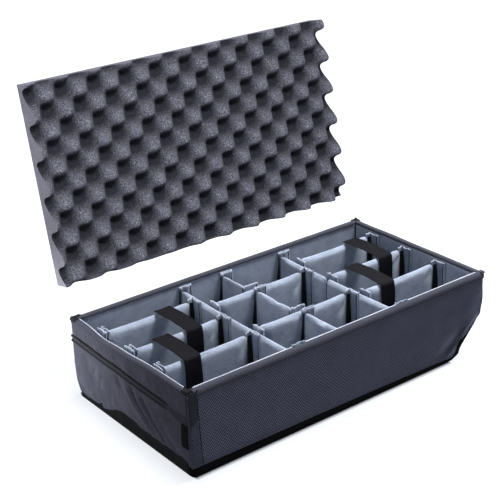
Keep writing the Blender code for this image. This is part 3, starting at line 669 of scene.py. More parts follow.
def cover_relief(x, y, z, normal_x, hem):
    """How far the cover stands out at a point."""
    out = 0.0006 * wander(x, y, z, 0.07) + 0.0004 * wander(x, y, z, 0.025)
    if normal_x < -0.5:
        loose = ease((WELT_Z - z) / 0.03)
        out += folds_at(x, y, z, normal_x)
        out += (0.0018 * wander(3, y + 0.6 * z, z, 0.040) + 0.0008 * wander(8, y + z, 2 * y, 0.014)) * loose
        collar = ease((z - WELT_Z) / 0.010) + 0.4 * math.exp(-((z - WELT_Z + 0.012) / 0.01) ** 2)
        out += 0.0016 * collar * wander(y + 0.45 * z, 0.4, z * 0.15, 0.0085)
    else:
        out += folds_at(x, y, z, normal_x)
        out += 0.0016 * ease((0.10 - z) / 0.09) * (0.5 + wander(x, y, 5, 0.12))
    lift = ease((z - hem) / 0.012)
    if normal_x < -0.5:
        out += BELLY * math.sin(math.pi * min(1.0, max(0.0, (z - hem) / (WELT_Z - hem))))
    tucked = ease((RIM - 0.006 - z) / 0.02)
    return max(-0.0006, out * (0.4 + 0.6 * lift) * (0.1 + 0.9 * tucked))


def cover_step(x, y, z, normal_x, normal_y):
    """How far the cover's face stands out from its plain outline at a point."""
    hem = cover_bottom(x, y, normal_x)
    below = max(0.0, WELT_Z - z) / WELT_Z
    draw = 0.005 * below * max(0.0, -normal_x)
    round_in = 0.004 * ease(1 - z / 0.05) * (1 - abs(abs(normal_x) - abs(normal_y)))
    round_in += max(0.0, 0.111 - z) ** 2 / 0.12 * max(0.0, normal_x)
    return cover_relief(x, y, z, normal_x, hem) - draw - round_in


def outer_cover():
    """The sleeve as one grid, hem to rim."""
    places, normals, lengths = ring(HALF_X - COVER_OUT, HALF_Y - COVER_OUT, 0.006, 0.004)
    rows = 44
    grid, uvs = blank_grid(rows, len(places))
    painted_fold_shades = np.zeros((rows, len(places)))
    for c, (place, normal, along) in enumerate(zip(places, normals, lengths)):
        hem = cover_bottom(place.x, place.y, normal.x)
        for r in range(rows):
            z = hem + (RIM - 0.0055 - hem) * r / (rows - 1)
            step = cover_step(place.x, place.y, z, normal.x, normal.y)
            lower = rim_sag(place.y, z, normal.x)
            grid[r, c] = (place.x + normal.x * step, place.y + normal.y * step, z - lower)
            uvs[r, c] = (along, z)
            # Painted highlight and shade for the fabric: lighter on fold ridges and darker in their hollows, and
            # the same over the handle end's puckers and crumples.
            pucker = 0.9 * wander(along + 0.45 * z, 0.4, z * 0.15, 0.0085) * ease((z - WELT_Z - 0.006) / 0.004)
            crumple = 0.35 * wander(8, place.y + z, 2 * place.y, 0.014) * ease((WELT_Z - z) / 0.03)
            small = (pucker + crumple) * ease((-normal.x - 0.5) / 0.4)
            painted_fold_shades[r, c] = max(-1.0, min(1.0, folds_at(place.x, place.y, z, normal.x) / 0.0055 + small))
    made = sheet_piece("outer_cover_sewn", grid, uvs, cover_fabric, around=True, thickness=0.001, rounds=1)
    painted_fold_shade = made.data.attributes.new("painted_fold_shade", "FLOAT", "POINT")
    painted_fold_shade.data.foreach_set("value", painted_fold_shades.reshape(-1))
    girth = 2 * (2 * HALF_X + 2 * HALF_Y)
    made.data.materials.append(cover_end_fabric)
    for face in made.data.polygons:
        if face.center.x < -HALF_X + 0.016:
            face.material_index = 1
    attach(made, "tray")
    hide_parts("outer_cover")
    return made, girth


cover, girth = outer_cover()
print("cover", len(cover.data.polygons), "faces, girth", round(girth, 3), "m")


# %% [markdown]
# ## Rim binding
# A ribbed tape is folded over the rim and sewn down on the outside. Its section is carried round the tray,
# and sags with the rim at the handle end. At the corners the spare tape is folded flat, apart from the back
# right one, where it is pinched up into a small peak.

# %% The rim binding
BINDING_PROFILE = [(0.0013, -0.0135), (0.0007, -0.0130), (0.0004, -0.0100), (0.0008, -0.0070), (0.0018, -0.0044),
                   (0.0034, -0.0022), (0.0054, -0.0008), (0.0076, -0.0001), (0.0096, -0.0004), (0.0112, -0.0017),
                   (0.0118, -0.0042)]
INSIDE_WRAP = [0, 0, 0, 0, 0, 0, 0.0004, 0.0012, 0.0024, 0.0030, 0.0028]


def rim_binding():
    """The folded tape, with a slight wave where it was sewn."""
    places, normals, lengths = ring(HALF_X, HALF_Y, 0.006, 0.005)
    grid, uvs = blank_grid(len(BINDING_PROFILE), len(places))
    run = 0.0
    for r, (inset, drop) in enumerate(BINDING_PROFILE):
        if r:
            run += math.dist(BINDING_PROFILE[r], BINDING_PROFILE[r - 1])
        for c, (place, normal, along) in enumerate(zip(places, normals, lengths)):
            wave = 0.0005 * wander(along, 7, r * 0.01, 0.035)
            stitched = -0.0004 * math.exp(-((drop + 0.0115) / 0.0012) ** 2)
            away = ease(max(normal.x, normal.y))
            end = ease((-normal.x - 0.3) / 0.6)
            side = inset - wave * (1 - end) - stitched * (1 - end) + INSIDE_WRAP[r] * away
            down = drop - (0.0028 * away if r == len(BINDING_PROFILE) - 1 else 0)
            if r < 3:
                side += 0.0010 * end
                down *= 1 - 0.45 * end
            sag = rim_sag(place.y, RIM + down, normal.x)
            z = RIM + down + 0.0006 * wander(along, 2, 0, 0.06) - sag
            grid[r, c] = (place.x - normal.x * side, place.y - normal.y * side, z)
            uvs[r, c] = (along, run)
    made = sheet_piece("rim_binding_tape", grid, uvs, binding_tape, around=True, thickness=-0.0008, rounds=1)
    made.data.materials.append(binding_back)
    for face in made.data.polygons:
        if face.center.x > HALF_X - 0.0115 or face.center.y > HALF_Y - 0.0115:
            face.material_index = 1
    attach(made, "tray")
    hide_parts("rim_binding")
    return made, run, girth


binding, tape_width, tape_length = rim_binding()
print("binding tape", round(tape_width, 4), "m wide")


def corner_fold(name, side_x, side_y, height, reach, hang, material):
    """The mitred fold of tape on a corner: a dark patch with a pinched ridge along its diagonal."""
    count = 15
    shares = np.linspace(0.0002, reach, count)
    grid, uvs = blank_grid(count, count)
    for r, a in enumerate(shares):
        for c, b in enumerate(shares):
            ridge = height * math.exp(-((a - b) / 0.0030) ** 2) * ease(1.4 - (a + b) / (1.2 * reach))
            edge = ease(min(a, b) / 0.002)
            far = ease((max(a, b) - 0.0105) / 0.004) * ease((min(a, b) - 0.010) / 0.003)
            z = RIM + 0.0014 * edge + ridge - hang * (1 - edge) - 0.0040 * far
            grid[r, c] = (side_x * (HALF_X - a), side_y * (HALF_Y - b), z + 0.0004 * wander(a, b, 2, 0.004))
            uvs[r, c] = (a, b)
    if side_x * side_y > 0:
        grid = grid[:, ::-1]
    made = sheet_piece(name, grid, uvs, material, thickness=0.0009, rounds=1)
    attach(made, "tray")
    return made


# %% [markdown]
# ## Lining
# The brushed loop lining covers the walls and floor inside. It turns over the inner edge of the rim, where a
# painted highlight, a paler copy of the loop, draws a thin pale line. It is made as one wall sheet and one floor
# sheet.

# %% The lining
LINING_THICK = 0.0009
LINING_TOP = [(0.0131, -0.0060), (0.0136, -0.0042), (0.0141, -0.0026), (0.0141, -0.0012), (0.0135, -0.0003),
              (0.0126, -0.0002), (0.0119, -0.0010), (0.0116, -0.0026)]


def lining_walls():
    """The wall lining from the floor to the turned edge, gently uneven."""
    places, normals, lengths = ring(HALF_X, HALF_Y, 0.0175, 0.006)
    rows = 26
    grid, uvs = blank_grid(rows + len(LINING_TOP), len(places))
    for c, (place, normal, along) in enumerate(zip(places, normals, lengths)):
        foot = max(ROOM_FLOOR, ramp_z(min(place.x, HALF_X - ROOM_INSET), ROOM_FLOOR))
        for r in range(rows):
            z = foot + (RIM - 0.0075 - foot) * r / rows
            free = ease((z - foot) / 0.03) * ease((RIM - 0.006 - z) / 0.02)
            out = 0.0009 * (0.4 + wander(along, z, 9, 0.055)) * free
            inset = ROOM_INSET + max(0.0, out)
            lower = rim_sag(place.y, z, normal.x)
            grid[r, c] = (place.x - normal.x * inset, place.y - normal.y * inset, z - lower)
            uvs[r, c] = (along, z)
        for r, (inset, drop) in enumerate(LINING_TOP):
            rise = 0.0004 * wander(along, 4, 0, 0.03)
            lower = 0.0045 * ease(max(normal.x, normal.y)) + rim_sag(place.y, RIM + drop, normal.x)
            z = RIM + drop + rise - lower
            grid[rows + r, c] = (place.x - normal.x * inset, place.y - normal.y * inset, z)
            uvs[rows + r, c] = (along, RIM + drop)
    grid = grid[::-1]
    uvs = uvs[::-1]
    made = sheet_piece("lining_walls", grid, uvs, loop_lining, around=True, thickness=LINING_THICK,
                       rounds=1)
    for material in (rim_highlight_loop, pale_highlight_loop, corner_tape):
        made.data.materials.append(material)
    # Painted highlights along the lining's top: the turned edge of the left and front walls takes the palest loop
    # copy, and the top band of the back and right walls takes a paler one. The top of the front left corner takes
    # the black corner tape.
    for face in made.data.polygons:
        left, front = face.center.x + HALF_X, face.center.y + HALF_Y
        height = face.center.z + (rim_sag(face.center.y, RIM, -1.0) if left < 0.03 else 0.0)
        if left < 0.021 and front < 0.021 and height > RIM - 0.006:
            face.material_index = 3
        elif min(left, front) < 0.03 and height > RIM - 0.0032:
            face.material_index = 1
        elif height > RIM - 0.0100 and min(left, front) >= 0.03:
            face.material_index = 2
    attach(made, "tray")
    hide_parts("lining")
    return made


def lining_floor():
    """The floor and ramp lining, with a soft bend between them."""
    xs = np.arange(-HALF_X + ROOM_INSET, HALF_X - ROOM_INSET + 0.001, 0.006)
    ys = np.linspace(-HALF_Y + ROOM_INSET, HALF_Y - ROOM_INSET, 52)
    grid, uvs = blank_grid(len(ys), len(xs))
    for r, y in enumerate(ys):
        for c, x in enumerate(xs):
            flat = ROOM_FLOOR
            slope = ramp_z(x, ROOM_FLOOR)
            z = flat + 0.5 * ((slope - flat) + math.sqrt((slope - flat) ** 2 + 0.00004))
            z += 0.004 * math.exp(-(x - xs[0]) / 0.006)
            grid[r, c] = (x, y, z - 0.0008 + 0.0003 * wander(x, y, 1, 0.05))
            uvs[r, c] = (x, y)
    made = sheet_piece("lining_floor", grid, uvs, loop_lining, thickness=LINING_THICK)
    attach(made, "tray")
    return made


walls = lining_walls()
floor_cloth = lining_floor()
for tag, side_x, side_y in (("back_left", -1, 1), ("back_right", 1, 1), ("front_left", -1, -1),
                            ("front_right", 1, -1)):
    foot = ROOM_FLOOR if side_x < 0 else ramp_z(HALF_X - ROOM_INSET, ROOM_FLOOR)
    x, y = side_x * (HALF_X - ROOM_INSET - 0.0010), side_y * (HALF_Y - ROOM_INSET - 0.0010)
    seam_cord("corner_seam_" + tag, [(x, y, foot + (RIM - 0.002 - foot) * i / 30) for i in range(31)],
              0.0017 if side_y > 0 else 0.0009, black_thread)
print("lining", len(walls.data.polygons) + len(floor_cloth.data.polygons), "faces")


# %% [markdown]
# ## Padded dividers
# Each divider is a foam sheet in a loop cover, sewn round its edges. Its faces are slightly crowned, its top
# edge is round and full, and its ends pull in to the seam. A fabric form like this starts as a thin closed
# pad, which a cloth simulation then blows up a little against its sewn ends. The two cross dividers have a
# sewn crease, drawn in afterwards, because a simulation would smooth it away.

# %% The dividers
PAD_GAP = 0.0034
PAD_END = 0.0095
PAD_FULL = 0.0020
PAD_START = 0.82
PAD_SWELL = 0.0026
PAD_STEP = 0.0066
SIM_FRAMES = 20
CREASES = {"cross_left": 0.019, "cross_right": 0.024}
DIVIDERS = ["cross_left", "cross_right", "short_back", "short_middle", "short_front", "left_back", "left_middle",
            "left_front", "middle_back", "middle_front", "right_back", "right_middle", "right_front"]


def quarter(distance, reach):
    """A quarter ellipse: 0 at its edge and 1 at reach and beyond."""
    return math.sqrt(max(0.0, 1 - (1 - min(1.0, max(0.0, distance / reach))) ** 2))


def close_stations(length, near, step, extra=()):
    """Places along a side, close together by both ends, a step apart between them."""
    last = near[-1]
    inner = max(2, round((length - 2 * last) / step))
    places = list(near) + [length - n for n in near]
    places += [last + (length - 2 * last) * i / inner for i in range(1, inner)]
    return sorted(set(round(p, 6) for p in places + list(extra)))


def divider_pad(name):
    """A divider's padded body, as a closed form of two faces between its seams."""
    low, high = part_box(name)
    along_x = high.x - low.x > high.y - low.y
    axis = 0 if along_x else 1
    start, stop = low[axis] + PAD_GAP, high[axis] - (PAD_END if along_x else PAD_GAP)
    length = stop - start
    middle = (low[1 - axis] + high[1 - axis]) / 2
    half = (high[1 - axis] - low[1 - axis]) / 2 + PAD_FULL
    half *= PAD_START
    seed = sum(ord(letter) for letter in name) * 0.37
    creases = []
    if name in CREASES:
        creases = [CREASES[name] - start + 0.001 * d for d in (-9, -6, -3.5, -1.6, 0, 1.6, 3.5, 6, 9)]
    stations = close_stations(length, (0.0, 0.0008, 0.0026, 0.0060), PAD_STEP, creases)
    near = (0.0, 0.0008, 0.0026, 0.0060, 0.0105)
    rows = [n / (high.z - low.z) for n in close_stations(high.z - low.z, near, PAD_STEP)]
    columns = len(stations)
    verts = []
    for side in (-1, 1):
        for t in rows:
            for s in stations:
                x = start + s if along_x else middle
                foot = max(low.z, ramp_z(x, ROOM_FLOOR + 0.0003))
                from_end = min(s, length - s)
                top = high.z + 0.0006 - 0.0090 * (1 - quarter(from_end, 0.0120))
                top += 0.0007 * wander(s, 3, seed, 0.06)
                z = foot + (top - foot) * t
                crown = 0.92 + 0.08 * math.sin(math.pi * s / length)
                lump = 1 + 0.06 * wander(s + seed, z, seed * side, 0.045)
                shape = 0.62 * quarter(top - z, 0.0120) + 0.38 * quarter(top - z, 0.0480)
                shape *= quarter(z - foot, 0.0060) * quarter(from_end, 0.0085)
                lean = 0.0012 * wander(s + seed, 1, seed, 0.10) * t * ease(from_end / 0.02)
                across = middle + side * half * crown * lump * shape + lean
                verts.append((x, across, z) if along_x else (across, start + s, z))
    count = len(rows) * columns
    faces = grid_faces(len(rows), columns)
    back = [tuple(reversed(f)) for f in grid_faces(len(rows), columns, start=count)]
    made = mesh_piece(name + "_pad", verts, faces + back, pad_loop)
    bm = bmesh.new()
    bm.from_mesh(made.data)
    bmesh.ops.remove_doubles(bm, verts=bm.verts, dist=0.00015)
    bmesh.ops.recalc_face_normals(bm, faces=bm.faces)
    bm.to_mesh(made.data)
    bm.free()
    made.data.polygons.foreach_set("use_smooth", [True] * len(made.data.polygons))
    return made


def blow_up(padded):
    """Blows the pads up together by cloth simulation, with their ends and feet held, and caps each point."""
    for name, pad in padded.items():
        low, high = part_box(name)
        axis = 0 if high.x - low.x > high.y - low.y else 1
        ends = [v.co[axis] for v in pad.data.vertices]
        held = [v.index for v in pad.data.vertices if v.co.z < low.z + 0.002
                or min(v.co[axis] - min(ends), max(ends) - v.co[axis]) < 0.0004]
        pad.vertex_groups.new(name="sewn").add(held, 1.0, "REPLACE")
        cloth = pad.modifiers.new("blown", "CLOTH")
        cloth.settings.vertex_group_mass = "sewn"
        cloth.settings.quality = 5
        cloth.settings.use_pressure = True
        cloth.settings.uniform_pressure_force = 4
        cloth.settings.effector_weights.gravity = 0
        cloth.collision_settings.use_collision = False
        cloth.point_cache.frame_end = SIM_FRAMES
    for number in range(1, SIM_FRAMES + 1):
        bpy.context.scene.frame_set(number)
    graph = bpy.context.evaluated_depsgraph_get()
    most = 0.0
    for name, pad in padded.items():
        low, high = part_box(name)
        axis = 0 if high.x - low.x > high.y - low.y else 1
        middle = (low[1 - axis] + high[1 - axis]) / 2
        room = (high[1 - axis] - low[1 - axis]) / 2 + PAD_FULL + 0.0003
        blown = [v.co.copy() for v in pad.evaluated_get(graph).data.vertices]
        for vert, there in zip(pad.data.vertices, blown):
            move = there - vert.co
            most = max(most, move.length)
            place = vert.co + move * min(1.0, PAD_SWELL / max(move.length, 1e-9))
            place[1 - axis] = max(middle - room, min(middle + room, place[1 - axis]))
            place[axis] = max(low[axis] + 0.0015, min(high[axis] - 0.0015, place[axis]))
            place.z = min(place.z, high.z + 0.0007)
            vert.co = place
        pad.modifiers.clear()
    bpy.context.scene.frame_set(1)
    return most


def draw_crease(made, place, middle):
    """Draws the pad thin along its sewn crease, with the small puckers that the stitches pull."""
    for vert in made.data.vertices:
        away = vert.co.y - place
        near = math.exp(-(away / 0.0054) ** 2)
        pucker = 1 + 0.05 * math.sin(vert.co.z * 2 * math.pi / 0.007)
        vert.co.x = middle + (vert.co.x - middle) * (1 - 0.92 * near * pucker)
        vert.co.z -= 0.0075 * math.exp(-(away / 0.0044) ** 2) * ease((vert.co.z - 0.1) / 0.06)


pads = {name: divider_pad(name) for name in DIVIDERS}
print("the simulation moved a point by up to", round(blow_up(pads), 4), "m before the cap")
for name, pad in pads.items():
    if name in CREASES:
        low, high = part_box(name)
        draw_crease(pad, CREASES[name], (low.x + high.x) / 2)
        for side in (-1, 1):
            thread_x = (low.x + high.x) / 2 + side * 0.0014
            heights = [low.z + 0.004 + (high.z - low.z - 0.018) * i / 30 for i in range(31)]
            seam_cord(name + ("_crease_right" if side > 0 else "_crease_left"),
                      [(thread_x, CREASES[name], z) for z in heights], 0.0010, black_thread, name)
    rounder = pad.modifiers.new("soft fabric", "SUBSURF")
    rounder.levels = rounder.render_levels = 1
    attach(pad, name)
    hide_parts(name)
print(len(pads), "pads,", sum(len(p.data.polygons) for p in pads.values()), "faces")


# %% [markdown]
# ## End flaps
# Each end of a divider carries a T-shaped flap of two sewn layers, faced with hook, that grips the loop wall.
# From above its layers show as a pair of slightly curled lips, pale by a painted highlight. Each flap is drawn
# as a plan line, and both layers are carried up it with a little curl, then edged with a row of stitches. The
# layers are a darker copy of the loop, a painted shade, and the black bands by each pad's end are partly hook
# tape and partly painted shadow.

# %% The flaps
FLAP_THICK, HOOK_THICK = 0.0024, 0.0008
FLAP_CURL, HOOK_CURL = 0.0022, 0.0006


def ribbon(name, plan, z_low, z_high, thickness, material, seed, curl=0.0022, taper=0.0, lean=(0.0, 0.0)):
    """A layer of tape that follows a plan line and stands from z_low to z_high, wavy at its top.

    taper narrows it towards its top, and lean is how far in x and y its top bends over.
    """
    rows = 19
    lengths = [0.0]
    for here, there in zip(plan, plan[1:]):
        lengths.append(lengths[-1] + math.dist(here, there))
    steps = np.linspace(0, lengths[-1], max(8, round(lengths[-1] / 0.0021)))
    xs = np.interp(steps, lengths, [p[0] for p in plan])
    ys = np.interp(steps, lengths, [p[1] for p in plan])
    tx, ty = np.gradient(xs), np.gradient(ys)
    size = np.hypot(tx, ty)
    grid, uvs = blank_grid(rows, len(steps))
    for r in range(rows):
        up = 1 - (1 - r / (rows - 1)) ** 1.7
        z = z_low + (z_high - z_low) * up
        held = steps * (1 - taper * ease((up - 0.30) / 0.70))
        row_x, row_y = np.interp(held, steps, xs), np.interp(held, steps, ys)
        over = ease((up - 0.58) / 0.42)
        for c in range(len(steps)):
            sway = curl * ease((up - 0.75) / 0.25) * wander(steps[c], seed, up * 0.03, 0.008)
            grid[r, c] = (row_x[c] + sway * ty[c] / size[c] + lean[0] * over,
                          row_y[c] - sway * tx[c] / size[c] + lean[1] * over,
                          z + 0.0018 * ease((up - 0.8) / 0.2) * wander(steps[c], seed + 5, 0, 0.007))
            uvs[r, c] = (steps[c], z)
    made = sheet_piece(name, grid, uvs, material, thickness=thickness, rounds=1)
    made.modifiers["cloth thickness"].offset = 0
    return made


def edged(made, across):
    """Gives a flap layer a painted highlight, a paler copy of the loop, along the top and at the free side, with
    a dark stitch line.
    """
    made.data.materials.append(pale_highlight_loop)
    made.data.materials.append(black_thread)
    columns = across - 1
    rows = len(made.data.polygons) // columns
    for face in made.data.polygons:
        row, column = divmod(face.index, columns)
        if row >= rows - 2 or column == columns - 1:
            face.material_index = 1
        elif column == columns - 2:
            face.material_index = 2
    return made


def flap_layers(node, body):
    """The layers of one end flap and its black bands, partly hook tape and partly painted shadow, in the room
    that its CAD solid has.
    """
    low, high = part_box(node)
    across_x = high.x - low.x < high.y - low.y
    pad_low, pad_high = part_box(body)
    seed = sum(ord(letter) for letter in node) * 0.21
    if across_x:
        at_low = low.x < (pad_low.x + pad_high.x) / 2
        wall = low.x if at_low else high.x
        inward = 1 if at_low else -1
        seam = (pad_low.y + pad_high.y) / 2
        lie = lambda out, along: (wall + inward * (out + 0.0008), seam - along)
        reach = seam - low.y
    else:
        at_low = low.y < (pad_low.y + pad_high.y) / 2
        wall = low.y if at_low else high.y
        inward = 1 if at_low else -1
        seam = (pad_low.x + pad_high.x) / 2
        lie = lambda out, along: (seam + along, wall + inward * (out + 0.0008))
        reach = high.x - seam
    outer = [(0.0008, -0.0045), (0.0007, 0.0), (0.0008, 0.008), (0.0007, 0.016), (0.0008, reach)]
    inner = [(0.0078, 0.0004), (0.0062, -0.0014), (0.0046, -0.0034), (0.0030, -0.0040), (0.0024, -0.0024),
             (0.0028, 0.0020), (0.0040, 0.0070), (0.0046, 0.0120), (0.0040, 0.0180), (0.0030, reach - 0.0008)]
    corner = [(0.0105, 0.0064), (0.0076, 0.0072), (0.0060, 0.0086), (0.0056, 0.0104)]
    if across_x and not at_low:
        corner = [(0.0155, 0.0056), (0.0115, 0.0070), (0.0072, 0.0090), (0.0058, 0.0116)]
        inner = [(0.0165, 0.0010), (0.0120, -0.0004)] + inner
    away = [(0.0090, -0.0067), (0.0044, -0.0076), (0.0022, -0.0086), (0.0014, -0.0104), (0.0012, -0.0120)]
    made = []
    loose = node in ("left_back_flap_left", "left_middle_flap_left", "left_front_flap_left")
    raised = node in ("cross_left_flap_front", "cross_right_flap_front")
    tall = 0.0100 if loose else 0.0150 if raised else 0.0030
    right_end = across_x and not at_low
    # The two black bands by the pad's end are partly hook tape and partly painted shadow: they fill the dark gap
    # and the shade beside the end, and their taper makes them narrow at the top and wider below, as the shadow
    # is.
    layers = (("hook", outer, tall, False, 0.0), ("face", inner, tall - 0.0010, False, 0.0),
              ("hook_and_shadow_corner", corner, -0.003, True, 0.35 if right_end else 0.75),
              ("hook_and_shadow_back", away, -0.003, True, 0.75))
    for tag, line, rise, hooked, taper in layers:
        length = sum(math.dist(a, b) for a, b in zip(line, line[1:]))
        over = {"hook": 0.0080, "face": 0.0130}.get(tag, 0.0) if loose else 0.0
        piece = ribbon(node + "_" + tag, [lie(*point) for point in line], low.z, high.z + rise,
                       HOOK_THICK if hooked else FLAP_THICK, hook_tape_and_shadow if hooked else shaded_flap_loop,
                       seed + len(made), HOOK_CURL if hooked else FLAP_CURL, taper,
                       (over, -0.0030 if raised else 0.0))
        if not hooked and not raised:
            edged(piece, max(8, round(length / 0.0021)))
        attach(piece, body)
        made.append(piece)
    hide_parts(node)
    return made


flaps = []
for body in DIVIDERS:
    ends = ("_flap_left", "_flap_right") if body.split("_")[0] in ("left", "right", "middle") else \
        ("_flap_front", "_flap_back")
    for end in ends:
        flaps += flap_layers(body + end, body)
print(len(flaps), "flap layers")


# %% [markdown]
# ## Tie straps
# Flat black webbing runs from one divider over the next and holds down its face with a hook patch. Webbing is
# modelled directly: a strip with its real thickness, flared a little where the end is sewn.

# %% The straps
STRAPS = {"strap_left_back": ("left_back", "left_middle"),
          "strap_left_front": ("left_middle", "left_front"),
          "strap_right_back": ("right_back", "right_middle"),
          "strap_right_front": ("right_middle", "right_front")}


STRAP_TURN = 0.0065
STRAP_ARCH = 0.0022
STRAP_THICK = 0.0017


def strap_line(back_y, face_y, top, low):
    """The strap's middle line in y and z: flat across, round over the edge, down the face."""
    turn = face_y + STRAP_TURN
    points = []
    for step in range(17):
        share = step / 16
        points.append((back_y + (turn - back_y) * share, top + STRAP_ARCH * math.sin(math.pi * share)))
    for step in range(1, 7):
        angle = math.pi / 2 * step / 6
        points.append((turn - STRAP_TURN * math.sin(angle), top - STRAP_TURN * (1 - math.cos(angle))))
    foot = top - STRAP_TURN
    for step in range(1, 17):
        share = step / 16
        points.append((face_y - 0.0016 * math.sin(math.pi * share), foot + (low - foot) * share))
    return points


def strap_piece(node, body):
    """One webbing strap over the dividers."""
    low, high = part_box(node)
    front_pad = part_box(STRAPS[node][1])[0]
    line = strap_line(high.y, front_pad.y - 0.0034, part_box(body)[1].z + 0.0020, low.z)
    middle = (low.x + high.x) / 2
    half = (high.x - low.x) / 2
    seed = sum(ord(letter) for letter in node) * 0.11
    columns = 13
    grid, uvs = blank_grid(len(line), columns)
    run = 0.0
    for r, (y, z) in enumerate(line):
        if r:
            run += math.dist(line[r], line[r - 1])
        drop = max(0.0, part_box(body)[1].z - z)
        flare = 1 + 0.05 * ease((drop - 0.04) / 0.03)
        for c in range(columns):
            across = 2 * c / (columns - 1) - 1
            cup = 0.0008 * across * across + 0.0006 * wander(across * 0.02, run, seed, 0.02)
            shift = 0.0012 * wander(run, seed, 0, 0.06)
            if drop > 0.012:
                grid[r, c] = (middle + half * flare * across + shift, y - cup, z)
            else:
                grid[r, c] = (middle + half * flare * across + shift, y, z + cup)
            uvs[r, c] = ((across + 1) * half, run)
    grid = grid[:, ::-1]
    uvs = uvs[:, ::-1]
    made = sheet_piece(node + "_webbing", grid, uvs, webbing, thickness=STRAP_THICK, rounds=1)
    made.modifiers["cloth thickness"].offset = 0
    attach(made, node)
    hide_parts(node)
    return made


straps = [strap_piece(node, carried[0]) for node, carried in STRAPS.items()]
print(len(straps), "straps")


# %% [markdown]
# ## Welt, corner strips and label
# The welt across the handle end is a folded grey band between two dark seams. The corner strips are tape, and
# the label is a loop of black satin, left blank.

# %% The sewn trim
def welt_line(y):
    """The welt's middle height along the handle end."""
    return float(np.interp(y, (-0.150, -0.118, -0.035, 0.038, 0.114, 0.195),
                           (0.1208, 0.1223, 0.1242, 0.1274, 0.1293, 0.1324)))


def end_welt():
    """The band and its two sunk seams."""
    ys = np.linspace(HALF_Y - 0.006, -0.150, 110)
    section = [(-0.0004, -0.0072), (0.0006, -0.0062), (0.0002, -0.0052), (0.0002, -0.0034), (0.0012, -0.0026),
               (0.0019, -0.0010), (0.0018, 0.0012), (0.0012, 0.0026), (0.0002, 0.0034), (0.0002, 0.0052),
               (0.0006, 0.0062), (-0.0004, 0.0072)]
    grid, uvs = blank_grid(len(section), len(ys))
    for c, y in enumerate(ys):
        fade = 0.35 + 0.65 * ease((y + 0.150) / 0.04)
        wave = 0.0008 * wander(y, 0, 3, 0.05)
        for r, (out, up) in enumerate(section):
            x = -HALF_X + COVER_OUT - out * fade - 0.0002
            grid[r, c] = (x, y, welt_line(y) + up * (0.7 + 0.3 * fade) + wave)
            uvs[r, c] = (y, up)
    made = sheet_piece("end_welt_band", grid, uvs, welt_tape, thickness=0.0008, rounds=1)
    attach(made, "tray")
    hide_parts("end_welt")
    return made


welt = end_welt()
for name, offset in (("welt_seam_upper", 0.0050), ("welt_seam_lower", -0.0050)):
    points = []
    for y in np.linspace(HALF_Y - 0.004, -0.142, 90):
        points.append((-HALF_X + 0.0010 + 0.0026 * ease((-0.112 - y) / 0.026), y,
                       welt_line(y) + offset + 0.0008 * wander(y, 0, 3, 0.05)))
    seam_cord(name, points, 0.0030, black_thread)


def welt_tack():
    """The dark patch of zigzag stitches that holds the welt's end by the corner."""
    ys = np.linspace(-0.138, -HALF_Y + 0.0020, 24)
    ups = np.linspace(-0.0110, 0.0080, 12)
    grid, uvs = blank_grid(len(ups), len(ys))
    for r, up in enumerate(ups):
        for c, y in enumerate(ys):
            z = 0.1195 + up * (0.45 + 0.55 * ease((-0.138 - y) / 0.03)) + 0.06 * (y + 0.138)
            x = -HALF_X + COVER_OUT - cover_step(-HALF_X, y, z, -1.0, 0.0)
            zigzag = 0.0005 * math.sin(2 * math.pi * y / 0.0048) * math.sin(2 * math.pi * up / 0.0080)
            grid[r, c] = (x - 0.0005 - zigzag, y, z)
            uvs[r, c] = (y, z)
    made = sheet_piece("welt_tack_patch", grid, uvs, strip_tape, thickness=0.0006, rounds=1)
    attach(made, "tray")
    return made


welt_tack()


def corner_strip(node, side, foot):
    """Binding tape up a corner of the handle end, from the hem to the rim."""
    low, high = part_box(node)
    across = np.linspace(0.0, high.x - low.x, 13)
    zs = np.linspace(foot, RIM - 0.0012, 40)
    grid, uvs = blank_grid(len(zs), len(across))
    for r, z in enumerate(zs):
        draw = 0.005 * max(0.0, WELT_Z - z) / WELT_Z
        for c, a in enumerate(across):
            edge = ease(a / 0.004) * ease((across[-1] - a) / 0.003)
            wrap = 0.0036 * (1 - ease(a / 0.005))
            x = low.x + 0.0008 + draw + a
            cover = HALF_Y - COVER_OUT + cover_step(x, side * HALF_Y, z, 0.0, side)
            out = 0.0002 + 0.0010 * edge + 0.0004 * wander(a, z, 11, 0.02)
            out += 0.0024 * ease((z - RIM + 0.018) / 0.003)
            grid[r, c] = (x, side * (cover + out - wrap), z)
            uvs[r, c] = (a, z)
    if side > 0:
        grid = grid[:, ::-1]
        uvs = uvs[:, ::-1]
    made = sheet_piece(node + "_tape", grid, uvs, strip_tape, thickness=0.0010, rounds=1)
    made.data.materials.append(strip_low)
    for face in made.data.polygons:
        if face.center.z < 0.100 + 0.7 * (face.center.x - low.x):
            face.material_index = 1
    for tag, a in (("inner", 0.0006), ("outer", high.x - low.x - 0.0004)):
        points = []
        for z in zs:
            x = low.x + 0.0008 + 0.005 * max(0.0, WELT_Z - z) / WELT_Z + a
            cover = HALF_Y - COVER_OUT + cover_step(x, side * HALF_Y, z, 0.0, side)
            points.append((x, side * (cover + 0.0002 - 0.0034 * (1 - ease(a / 0.005))), z))
        seam_cord(node + "_seam_" + tag, points, 0.0010, black_thread)
    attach(made, "tray")
    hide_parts(node)
    return made


corner_strip("corner_strip_front", -1, 0.0200)
corner_strip("corner_strip_back", 1, 0.0200)


